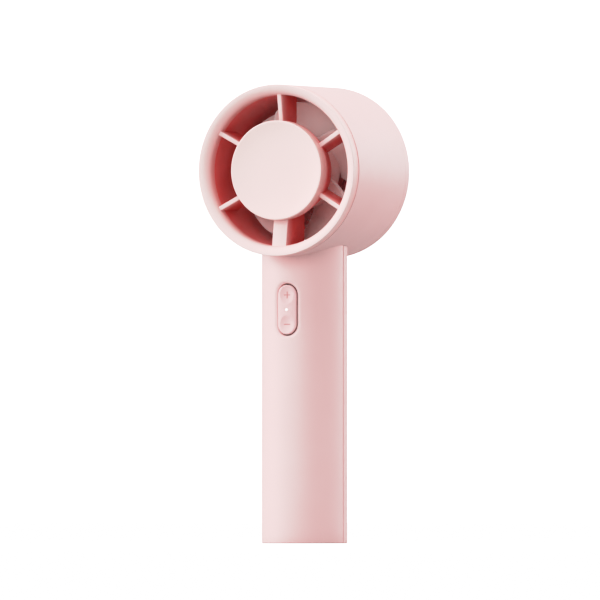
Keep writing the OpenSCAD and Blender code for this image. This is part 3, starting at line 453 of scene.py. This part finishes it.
def finish_piece(bm, name, body, slot, nodes=(), place=None, sharp=38, material=None):
    """Closes a mesh, puts it in place and hangs it on its body."""
    bmesh.ops.remove_doubles(bm, verts=bm.verts, dist=0.003)
    bmesh.ops.recalc_face_normals(bm, faces=bm.faces)
    if place is not None:
        bmesh.ops.transform(bm, matrix=place, verts=bm.verts)
    bmesh.ops.scale(bm, vec=(MM, MM, MM), verts=bm.verts)
    mesh = bpy.data.meshes.new(name)
    bm.to_mesh(mesh)
    bm.free()
    mesh.shade_smooth()
    mesh.set_sharp_from_angle(angle=math.radians(sharp))
    piece = bpy.data.objects.new(name, mesh)
    bpy.context.scene.collection.objects.link(piece)
    mesh.materials.append(material or FINISHES[slot])
    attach(piece, body)
    if nodes:
        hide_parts(*nodes)
    return piece


def turned(name, outline, body, slot, nodes, sharp=38, material=None):
    return finish_piece(lathe(bmesh.new(), outline), name, body, slot, nodes, HEAD, sharp, material)


# ---- Head ----

turned("head_barrel", [
    (HEAD_R, BARREL_F, 0.35), (BARREL_INNER, BARREL_F), (BARREL_INNER, -RING_F + REAR_JOINT),
    (HEAD_R, -RING_F + REAR_JOINT, 0.05)], "housing", "shell", ["body_shell"])

turned("front_ring", [
    (DUCT_R, FRONT_F, 4.2), (HEAD_R, FRONT_F, 0.38), (HEAD_R, RING_F, 0.25), (SEAT_R, RING_F),
    (SEAT_R, BARREL_F), (BARREL_INNER - 0.1, BARREL_F), (BARREL_INNER - 0.1, DUCT_F + 0.05),
    (DUCT_R, DUCT_F + 0.05)], "housing", "guard", ["front_guard"])

turned("air_liner", [(DUCT_R, DUCT_F), (DUCT_OUT, DUCT_F), (DUCT_OUT, -DUCT_F), (DUCT_R, -DUCT_F)],
       "housing", "duct", ["air_duct"])


def dish(radius):
    """Height of the cap's shallow dish at a radius."""
    return FRONT_F - CAP_DISH * (1 - (radius / (HUB_R - 0.7)) ** 3.4)


cap_outline = [(r, dish(r)) for r in (0, 3, 6, 9, 12, 14, 16, 17.5, 18.8, 19.8, 20.6)]
turned("motor_cap", cap_outline + [
    (HUB_R - 0.7, FRONT_F, 0.3), (HUB_R, FRONT_F, 0.35), (HUB_R, CAP_F + 0.08, 0.12),
    (HUB_R - 1.7, CAP_F + 0.08), (HUB_R - 1.7, CAP_BACK), (0, CAP_BACK)],
       "housing", "cap", ["hub_cap"], sharp=30)

turned("motor_cup", [
    (HUB_R, CAP_F, 0.12), (HUB_R, CAP_F - 1.5, 0.6), (HUB_REAR_R, HUB_REAR_F, 0.8), (4.6, HUB_REAR_F),
    (4.6, HUB_REAR_F + 2), (HUB_REAR_R - HUB_WALL, HUB_REAR_F + 2), (HUB_R - HUB_WALL, CAP_F - 1.5),
    (HUB_R - HUB_WALL, CAP_F)], "housing", "guard", ["front_guard"])

strut_outline = [
    (HUB_R - 0.8, CAP_F - 0.3), (DUCT_R + 1, FRONT_F - 3), (DUCT_R + 1, DUCT_F), (DUCT_R - 0.2, DUCT_F),
    (DUCT_R - 0.2, HUB_REAR_F), (HUB_REAR_R - 0.8, HUB_REAR_F), (HUB_R - 0.8, CAP_F - 1.5)]
wide_outline = strut_outline[:4] + [(r, f - 3.0) for r, f in strut_outline[4:6]] + strut_outline[6:]
struts = bmesh.new()
slab(struts, wide_outline, STRUT_WIDE, 0.25, math.radians(-90))
for i in range(1, 6):
    slab(struts, strut_outline, STRUT_THIN, 0.25, math.radians(60 * i - 90))
finish_piece(struts, "guard_struts", "housing", "guard", ["front_guard"], HEAD)

# ---- Rear grille ----

REAR_SEAT_R = SEAT_R - 1.3
turned("rear_ring", [
    (DUCT_R, -FRONT_F, 3.36), (HEAD_R, -FRONT_F, 1.5), (HEAD_R, -RING_F, 0.05), (REAR_SEAT_R, -RING_F),
    (REAR_SEAT_R, -BARREL_F), (BARREL_INNER - 0.1, -BARREL_F), (BARREL_INNER - 0.1, -DUCT_F - 0.05),
    (DUCT_R, -DUCT_F - 0.05)], "housing", "guard", ["rear_grille"], material=rear_finish)

GRILLE_BACK, GRILLE_FRONT = -FRONT_F + 1, -FRONT_F + 5
BOSS_R, BAR, FIRST_R, GAPS = 8.4, 2.4, 7.0, 9
grille = bmesh.new()
for i in range(1, GAPS):
    middle = FIRST_R + i * (DUCT_R - FIRST_R) / GAPS
    lathe(grille, [(middle - BAR / 2, GRILLE_FRONT, 0.3), (middle + BAR / 2, GRILLE_FRONT, 0.3),
                   (middle + BAR / 2, GRILLE_BACK, 0.9), (middle - BAR / 2, GRILLE_BACK, 0.9)], 144)
lathe(grille, [(0, GRILLE_BACK + 0.35), (BOSS_R - 2.5, GRILLE_BACK + 0.2), (BOSS_R - 1.2, GRILLE_BACK, 0.6),
               (BOSS_R, GRILLE_BACK, 0.8), (BOSS_R, GRILLE_FRONT, 0.3), (0, GRILLE_FRONT)], 144)
finish_piece(grille, "grille_rings", "housing", "guard", ["rear_grille"], HEAD, material=rear_finish)
spoke_outline = [
    (BOSS_R - 1, GRILLE_BACK + 0.6), (DUCT_R + 0.6, GRILLE_BACK + 0.6),
    (DUCT_R + 0.6, GRILLE_FRONT - 0.1), (BOSS_R - 1, GRILLE_FRONT - 0.1)]
spokes = bmesh.new()
for i in range(6):
    slab(spokes, spoke_outline, BAR, 0.3, math.radians(60 * i))
finish_piece(spokes, "grille_spokes", "housing", "guard", ["rear_grille"], HEAD, material=rear_finish)

# ---- Impeller ----

turned("rotor_hub", [
    (4.0, ROTOR_REAR, 0.3), (16.5, ROTOR_REAR, 5.0), (16.5, ROTOR_F, 0.3), (15.1, ROTOR_F),
    (15.1, INSERT_REAR, 3.6), (4.5, INSERT_REAR), (4.5, ROTOR_F - 0.4), (2.65, ROTOR_F - 0.4),
    (2.65, INSERT_REAR), (4.0, INSERT_REAR)], "rotor", "blades", ["impeller"])

TIP_ROUND, BLADE_ROOT, BLADE_MID = 3.0, 16.0, 27.0
tip_columns = [BLADE_TIP - TIP_ROUND + TIP_ROUND * math.sin(math.radians(a)) for a in range(15, 91, 15)]
columns = [BLADE_ROOT + (BLADE_TIP - TIP_ROUND - BLADE_ROOT) * k / 10 for k in range(11)] + tip_columns
rows = [0, 0.03, 0.07] + [0.07 + 0.86 * k / 20 for k in range(1, 20)] + [0.93, 0.97, 1]


def blade(bm, edge_highlight, first):
    """One swept blade, bent from a flat grid round the hub."""
    made = bmesh.ops.create_grid(bm, x_segments=len(columns) - 1, y_segments=len(rows) - 1, size=1)["verts"]
    for v in made:
        column = round((v.co.x + 1) / 2 * (len(columns) - 1))
        row = round((v.co.y + 1) / 2 * (len(rows) - 1))
        radius = columns[column]
        lost = max(0, radius - BLADE_TIP + TIP_ROUND)
        lost = TIP_ROUND - math.sqrt(max(0, TIP_ROUND ** 2 - lost ** 2))
        f = BLADE_REAR + lost + rows[row] * (BLADE_LEN - 2 * lost)
        turn = math.radians(first - BLADE_PITCH * (BLADE_FRONT - f) - BLADE_SWEEP * (radius - BLADE_MID))
        v.co = (radius * math.cos(turn), radius * math.sin(turn), f)
        # Marks the blade's front, rear and tip edges for the painted highlight.
        v[edge_highlight] = 1.0 if row in (0, len(rows) - 1) or column == len(columns) - 1 else 0.0


blades = bmesh.new()
edge_highlight_layer = blades.verts.layers.float.new("edge_highlight")
for i in range(BLADE_COUNT):
    blade(blades, edge_highlight_layer, BLADE_FIRST - 360 / BLADE_COUNT * i)
blade_set = finish_piece(blades, "fan_blades", "rotor", "blades", ["impeller"], HEAD)
thicken = blade_set.modifiers.new("wall", "SOLIDIFY")
thicken.thickness, thicken.offset, thicken.use_even_offset = BLADE_WALL * MM, 0, True
edge = blade_set.modifiers.new("soft_edge", "BEVEL")
edge.width, edge.segments, edge.limit_method, edge.angle_limit = 0.35 * MM, 3, "ANGLE", math.radians(50)

# ---- Handle ----


def capsule_place(v, centre, width, length, grow, along):
    """Moves a vertex of a capsule loop to a given distance outside the capsule."""
    reach = (length - width) / 2
    away = v.co.xy - centre
    spine = centre + along * max(-reach, min(reach, away.dot(along)))
    out = v.co.xy - spine
    out = out.normalized() if out.length > 1e-6 else Vector((along.y, along.x))
    v.co.xy = spine + out * (width / 2 + grow)


def capsule_loop(bm, centre, width, length, grow, along, arc, cuts):
    """A closed capsule loop of edges, stretched from a circle."""
    known = set(bm.edges)
    made = bmesh.ops.create_circle(bm, segments=arc, radius=1)["verts"]
    bmesh.ops.rotate(bm, cent=(0, 0, 0), matrix=Matrix.Rotation(math.pi / arc, 3, "Z"), verts=made)
    for v in made:
        side = 1 if v.co.xy.dot(along) > 0 else -1
        v.co.xy += along * side * length
    long = [e for e in bm.edges if e not in known and e.calc_length() > length]
    bmesh.ops.subdivide_edges(bm, edges=long, cuts=cuts)
    loop = [e for e in bm.edges if e not in known]
    verts = {v for e in loop for v in e.verts}
    half = (length - width) / 2
    for v in verts:
        t = v.co.xy.dot(along)
        across = v.co.xy - along * t
        if abs(t) < length:
            v.co.xy = along * (t / length * half) + across.normalized() * width / 2
        else:
            tip = v.co.xy - along * math.copysign(length, t)
            v.co.xy = along * math.copysign(half, t) + tip.normalized() * width / 2
        v.co.xy += centre
        capsule_place(v, centre, width, length, grow, along)
    return loop, verts


def roll(bm, edges, moves):
    """Extrudes a loop of edges once for each move, and returns the last loop."""
    for move in moves:
        geom = bmesh.ops.extrude_edge_only(bm, edges=edges)["geom"]
        fresh = {g for g in geom if isinstance(g, bmesh.types.BMVert)}
        edges = [g for g in geom if isinstance(g, bmesh.types.BMEdge) and set(g.verts) <= fresh]
        for v in fresh:
            move(v)
    return edges


def handle_panel(bm, hole, wide, tall, top_z, rim_steps, cuts, arc):
    """A flat panel with a capsule hole, rolled edges and a wall. x runs round the handle and y upwards."""
    centre, width, length, along = hole
    side_r, foot_r = 0.3, 0.6
    span = HANDLE_R * math.pi / 2 - SEAM_HALF
    inner = [wide * (2 * k / 15 - 1) for k in range(16)]
    outer = [wide + (span - side_r - wide) * (k / 22) for k in range(1, 23)]
    xs = [-x for x in reversed(outer)] + inner + outer
    low, high = centre.y - tall, centre.y + tall
    below = max(3, round((low - foot_r) / 5))
    above = max(4, round((top_z - high) / 3))
    tall_rows = 28
    ys = ([foot_r + (low - foot_r) * k / below for k in range(below)]
          + [low + 2 * tall * k / tall_rows for k in range(tall_rows)]
          + [high + (top_z - high) * k / above for k in range(above + 1)])
    bmesh.ops.create_grid(bm, x_segments=len(xs) - 1, y_segments=len(ys) - 1, size=1)
    for v in bm.verts:
        v.co = (xs[round((v.co.x + 1) / 2 * (len(xs) - 1))], ys[round((v.co.y + 1) / 2 * (len(ys) - 1))], 0)
    middles = {f: f.calc_center_median() for f in bm.faces}
    window = [f for f, m in middles.items() if abs(m.x) < wide and low < m.y < high]
    bmesh.ops.delete(bm, geom=window, context="FACES")

    def by_window(v):
        return abs(v.co.x) < wide + 0.01 and low - 0.01 < v.co.y < high + 0.01

    frame_edges = [e for e in bm.edges if e.is_boundary and all(by_window(v) for v in e.verts)]
    loop, loop_verts = capsule_loop(bm, centre, width, length, rim_steps[0][0], along, arc, cuts)

    def bearing(v):
        return math.atan2(v.co.y - centre.y, v.co.x - centre.x)

    goals = [v.co.copy() for v in sorted({v for e in frame_edges for v in e.verts}, key=bearing)]
    starts = [v.co.copy() for v in sorted(loop_verts, key=bearing)]
    ring = loop
    for share in (0.25, 0.6, 1):
        geom = bmesh.ops.extrude_edge_only(bm, edges=ring)["geom"]
        fresh = [g for g in geom if isinstance(g, bmesh.types.BMVert)]
        ring = [g for g in geom if isinstance(g, bmesh.types.BMEdge) and set(g.verts) <= set(fresh)]
        for v, start, goal in zip(sorted(fresh, key=bearing), starts, goals, strict=True):
            v.co = start.lerp(goal, share)
    bmesh.ops.remove_doubles(bm, verts=bm.verts, dist=0.002)
    skin = list(bm.faces)
    copy = bmesh.ops.duplicate(bm, geom=skin + list({e for f in skin for e in f.edges})
                               + list({v for f in skin for v in f.verts}))
    lining = [g for g in copy["geom"] if isinstance(g, bmesh.types.BMVert)]
    hole_pairs = {copy["vert_map"][v] for v in loop_verts}
    for v in lining:
        if v in hole_pairs:
            capsule_place(v, centre, width, length, 0, along)
        if abs(v.co.x) > span - side_r - 0.01:
            v.co.x = math.copysign(span, v.co.x)
        if v.co.y < foot_r + 0.01:
            v.co.y = 0
        v.co.z = -HANDLE_WALL
    skin_verts = {v for f in skin for v in f.verts}
    outside = skin_verts - set(loop_verts)
    border = [e for e in bm.edges if e.is_boundary and set(e.verts) <= outside]
    hole_edges = [e for e in bm.edges if e.is_boundary and set(e.verts) <= set(loop_verts)]

    def hole_move(grow, height):
        def move(v):
            capsule_place(v, centre, width, length, grow, along)
            v.co.z = height
        return move

    def border_move(share, drop):
        def move(v):
            side = abs(v.co.x) > span - side_r - 0.01
            foot = v.co.y < foot_r + 0.01
            radius = side_r if side or not foot else foot_r
            if side:
                v.co.x = math.copysign(span - side_r + side_r * share, v.co.x)
            if foot:
                v.co.y = foot_r - foot_r * share
            v.co.z = -HANDLE_WALL if drop is None else -radius * drop
        return move

    roll(bm, hole_edges, [hole_move(*step) for step in rim_steps[1:]] + [hole_move(0, -HANDLE_WALL)])
    quarter = [math.radians(a) for a in (22.5, 45, 67.5, 90)]
    roll(bm, border, [border_move(math.sin(a), 1 - math.cos(a)) for a in quarter] + [border_move(1, None)])
    bmesh.ops.remove_doubles(bm, verts=bm.verts, dist=0.002)
    return bm


def wrap(bm, side, fixed_z, nominal_top, top_radius):
    """Bends a flat panel round the handle, and cuts its top to the head's curve."""
    for v in bm.verts:
        turn, radius = v.co.x / HANDLE_R, HANDLE_R + v.co.z
        x, z = radius * math.sin(turn), v.co.y
        if top_radius and z > fixed_z:
            top = HEAD_Z - math.sqrt(top_radius ** 2 - x * x)
            z = fixed_z + (z - fixed_z) / (nominal_top - fixed_z) * (top - fixed_z)
        v.co = (-side * x, side * radius * math.cos(turn), z)
    return bm


UP, ACROSS = Vector((0, 1)), Vector((1, 0))
SLOT_W, SLOT_LEN = KEY_W + 0.7, KEY_LEN + 1.2
PORT_W, PORT_LEN = 3.66, 9.34
SLOT_WINDOW, PORT_WINDOW = (9.0, 16.5), (6.5, 4.5)
HOLE_CUTS, HOLE_ARC = 19, 48
FLAT_TOP = 130.0

slot = (Vector((0, KEY_Z)), SLOT_W, SLOT_LEN, UP)
slot_rim = [(1.5, 0), (1.25, -0.04), (0.95, -0.15), (0.45, -0.40), (0.22, -0.54), (0.07, -0.75), (0, -1.1)]
front_half = handle_panel(bmesh.new(), slot, *SLOT_WINDOW, FLAT_TOP, slot_rim, HOLE_CUTS, HOLE_ARC)
wrap(front_half, -1, KEY_Z + SLOT_WINDOW[1], FLAT_TOP, HEAD_R - 1)
finish_piece(front_half, "handle_front", "housing", "shell", ["body_shell"])

port = (Vector((0, USB_Z)), PORT_W, PORT_LEN, ACROSS)
port_rim = [(0.35, 0), (0.18, -0.06), (0.06, -0.18), (0, -0.36)]
rear_half = handle_panel(bmesh.new(), port, *PORT_WINDOW, FLAT_TOP, port_rim, HOLE_CUTS, HOLE_ARC)
wrap(rear_half, 1, USB_Z + PORT_WINDOW[1], FLAT_TOP, HEAD_R + 0.15)
finish_piece(rear_half, "handle_rear", "housing", "shell", ["rear_cover"])

LIP, LIP_FOOT, LIP_LEN = 0.8, 0.9, 131.5
lips = bmesh.new()
for side in (-1, 1):
    strip = bmesh.ops.create_cube(lips, size=1)["verts"]
    bmesh.ops.scale(lips, vec=(LIP, LIP, LIP_LEN), verts=strip)
    bmesh.ops.translate(lips, vec=(side * (HANDLE_R - 1.5), 0.2, LIP_FOOT + LIP_LEN / 2), verts=strip)
bmesh.ops.bevel(lips, geom=list(lips.edges), offset=0.08, segments=2, profile=0.5, affect="EDGES",
                material=-1)
finish_piece(lips, "seam_lips", "housing", "shell", ["rear_cover"])

# ---- Base ----

foot = lathe(bmesh.new(), [(0, 0.8), (HANDLE_R - 2.1, 0.8, 0.2), (HANDLE_R - 2.1, 2.8), (0, 2.8)])
finish_piece(foot, "base_plate", "housing", "shell", ["base_cap"])
sole = lathe(bmesh.new(), [(0, 0), (HANDLE_R - 3.0, 0, 0.35), (HANDLE_R - 3.0, 0.8, 0.1), (0, 0.8)])
finish_piece(sole, "base_sole", "housing", "pad", ["base_pad"])

# ---- Key ----

DISH_HALF, DISH_DEPTH, DISH_BLEND = 4.0, 0.75, 0.05
DISH_R = (DISH_HALF ** 2 + DISH_DEPTH ** 2) / (2 * DISH_DEPTH)
DISH_BACK = HANDLE_R - DISH_DEPTH + DISH_R


def dish_face(x, z):
    """Y of the deeper finger dish at a point of the key."""
    dz = abs(z - KEY_Z) - SWITCH_DZ
    return -(DISH_BACK - math.sqrt(max(0, DISH_R ** 2 - x * x - dz * dz)))


key = bmesh.new()
key_centre = Vector((0, KEY_Z))
spine_loop = capsule_loop(key, key_centre, KEY_W, KEY_LEN, -KEY_W / 2 + 0.001, UP, 48, 31)[0]


def key_move(grow, height):
    def move(v):
        capsule_place(v, key_centre, KEY_W, KEY_LEN, grow, UP)
        v.co.z = height
    return move


KEY_EDGE = 0.5
crown = [-KEY_W / 2 + (KEY_W / 2 - KEY_EDGE) * k / 14 for k in range(1, 15)]
moves = [key_move(grow, 0) for grow in crown]
for angle in map(math.radians, (22.5, 45, 67.5, 90)):
    moves.append(key_move(KEY_EDGE * (math.sin(angle) - 1), KEY_EDGE * (math.cos(angle) - 1)))
moves += [key_move(0, -1.4), key_move(0, -2.3), key_move(-0.6, -2.4)]
back_loop = roll(key, spine_loop, moves)
bmesh.ops.edgeloop_fill(key, edges=back_loop)
bmesh.ops.remove_doubles(key, verts=key.verts, dist=0.01)
wrap(key, -1, 0, 0, None)
for v in key.verts:
    if math.hypot(v.co.x, v.co.y) > HANDLE_R - 0.45:
        sunk = dish_face(v.co.x, v.co.z)
        gap = v.co.y - sunk
        v.co.y = sunk + (gap + math.sqrt(gap * gap + DISH_BLEND ** 2)) / 2
finish_piece(key, "rocker_key", "key", "key", ["key_pad"], sharp=50)

marks = bmesh.new()
MARK_LEN, MARK_W = 3.0, 0.34
PLUS_Z, MINUS_Z = KEY_Z + SWITCH_DZ, KEY_Z - SWITCH_DZ
for wide, tall, z in ((MARK_LEN, MARK_W, PLUS_Z), (MARK_W, MARK_LEN, PLUS_Z), (MARK_LEN, MARK_W, MINUS_Z)):
    bar = bmesh.ops.create_grid(marks, x_segments=10 if wide > 1 else 2, y_segments=10 if tall > 1 else 2,
                                size=0.5)["verts"]
    for v in bar:
        v.co = (v.co.x * wide, dish_face(v.co.x * wide, z + v.co.y * tall) + 0.05, z + v.co.y * tall)
raised = bmesh.ops.extrude_face_region(marks, geom=list(marks.faces))["geom"]
bmesh.ops.translate(marks, vec=(0, -0.14, 0), verts=[g for g in raised if isinstance(g, bmesh.types.BMVert)])
finish_piece(marks, "key_marks", "key", "key", material=mark_finish)

pipe = lathe(bmesh.new(), [(0, 0), (0.3, -0.02), (0.675, -0.10, 0.05), (0.675, -5.6), (0, -5.6)], 48)
finish_piece(pipe, "light_dot", "key", "light", ["light_pipe"],
             Matrix.Translation((0, -HANDLE_R - 0.08, KEY_Z)) @ Matrix.Rotation(math.radians(90), 4, "X"))

# ---- Floor, light and camera ----

floor_mesh = bmesh.new()
FLOOR_DROP = Matrix.Translation((0, 0, -0.0002))
bmesh.ops.create_grid(floor_mesh, x_segments=1, y_segments=1, size=14, matrix=FLOOR_DROP)
mesh = bpy.data.meshes.new("floor")
floor_mesh.to_mesh(mesh)
floor_mesh.free()
floor = bpy.data.objects.new("floor", mesh)
bpy.context.scene.collection.objects.link(floor)
material, tree, shader, place = blank_material("floor_white")
shader.inputs["Base Color"].default_value = (0.34, 0.33, 0.33, 1)
shader.inputs["Roughness"].default_value = 0.9
seen = tree.nodes.new("ShaderNodeLightPath").outputs["Is Camera Ray"]
glow = wire(tree, "ShaderNodeEmission",
            {"Color": (1, 1, 1, 1), "Strength": maths(tree, "MULTIPLY", seen, 1.9)})
total = wire(tree, "ShaderNodeAddShader", {0: shader.outputs[0], 1: glow.outputs[0]})
tree.links.new(total.outputs[0], [n for n in tree.nodes if n.type == "OUTPUT_MATERIAL"][0].inputs["Surface"])
mesh.materials.append(material)

world = bpy.data.worlds.new("studio")
bpy.context.scene.world = world
world.use_nodes = True
air = world.node_tree
air.nodes.clear()
seen = air.nodes.new("ShaderNodeLightPath").outputs["Is Camera Ray"]
strength = maths(air, "ADD", maths(air, "MULTIPLY", seen, 2.4), 0.72)
sky = wire(air, "ShaderNodeBackground", {"Color": (1, 1, 1, 1), "Strength": strength})
air.links.new(sky.outputs[0], air.nodes.new("ShaderNodeOutputWorld").inputs[0])

AZIMUTH = math.radians(25)
RIGHT = Vector((math.cos(AZIMUTH), math.sin(AZIMUTH), 0))
AWAY = Vector((-math.sin(AZIMUTH), math.cos(AZIMUTH), 0))
TARGET = Vector((0, 0, 0.11))


def softbox(name, right, away, up, size, power):
    """A soft square light that faces the fan."""
    lamp = bpy.data.lights.new(name, "AREA")
    lamp.shape, lamp.size, lamp.energy = "SQUARE", size, power
    holder = bpy.data.objects.new(name, lamp)
    holder.location = TARGET + RIGHT * right + AWAY * away + Vector((0, 0, up))
    holder.rotation_mode = "QUATERNION"
    holder.rotation_quaternion = (TARGET - holder.location).to_track_quat("-Z", "Y")
    bpy.context.scene.collection.objects.link(holder)


softbox("light_left", -1.15, 0.0, 0.30, 0.9, 11.6)
softbox("light_top", -0.1, -0.15, 1.3, 1.0, 11.0)
softbox("light_front", -0.45, -1.22, 0.35, 0.7, 5.9)
softbox("light_rim", 1.08, 0.50, 0.35, 0.8, 9.0)

CAMERA_AWAY, CAMERA_HEIGHT, LENS = 6.5, 0.013, 879
camera_data = bpy.data.cameras.new("camera")
camera_data.sensor_width, camera_data.lens = 36, LENS
camera_data.clip_start, camera_data.clip_end = 0.1, 100
camera = bpy.data.objects.new("camera", camera_data)
aim = Vector((0, 0, 0.108)) - RIGHT * 0.00204
camera.location = aim - AWAY * CAMERA_AWAY
camera.location.z = CAMERA_HEIGHT
camera.rotation_mode = "QUATERNION"
camera.rotation_quaternion = (aim - camera.location).to_track_quat("-Z", "Y")
bpy.context.scene.collection.objects.link(camera)
bpy.context.scene.camera = camera

view = bpy.context.scene.view_settings
view.view_transform = "Standard"
view.look = "None"
view.use_curve_mapping = True
shoulder = view.curve_mapping
WHITE = 2.2
shoulder.white_level = (WHITE, WHITE, WHITE)
curve = shoulder.curves[3]
for given, shown in ((0.25, 0.25), (0.5, 0.5), (0.72, 0.716), (0.85, 0.768), (0.987, 0.815), (1.28, 0.913),
                     (1.65, 0.975)):
    curve.points.new(given / WHITE, shown)
shoulder.update()
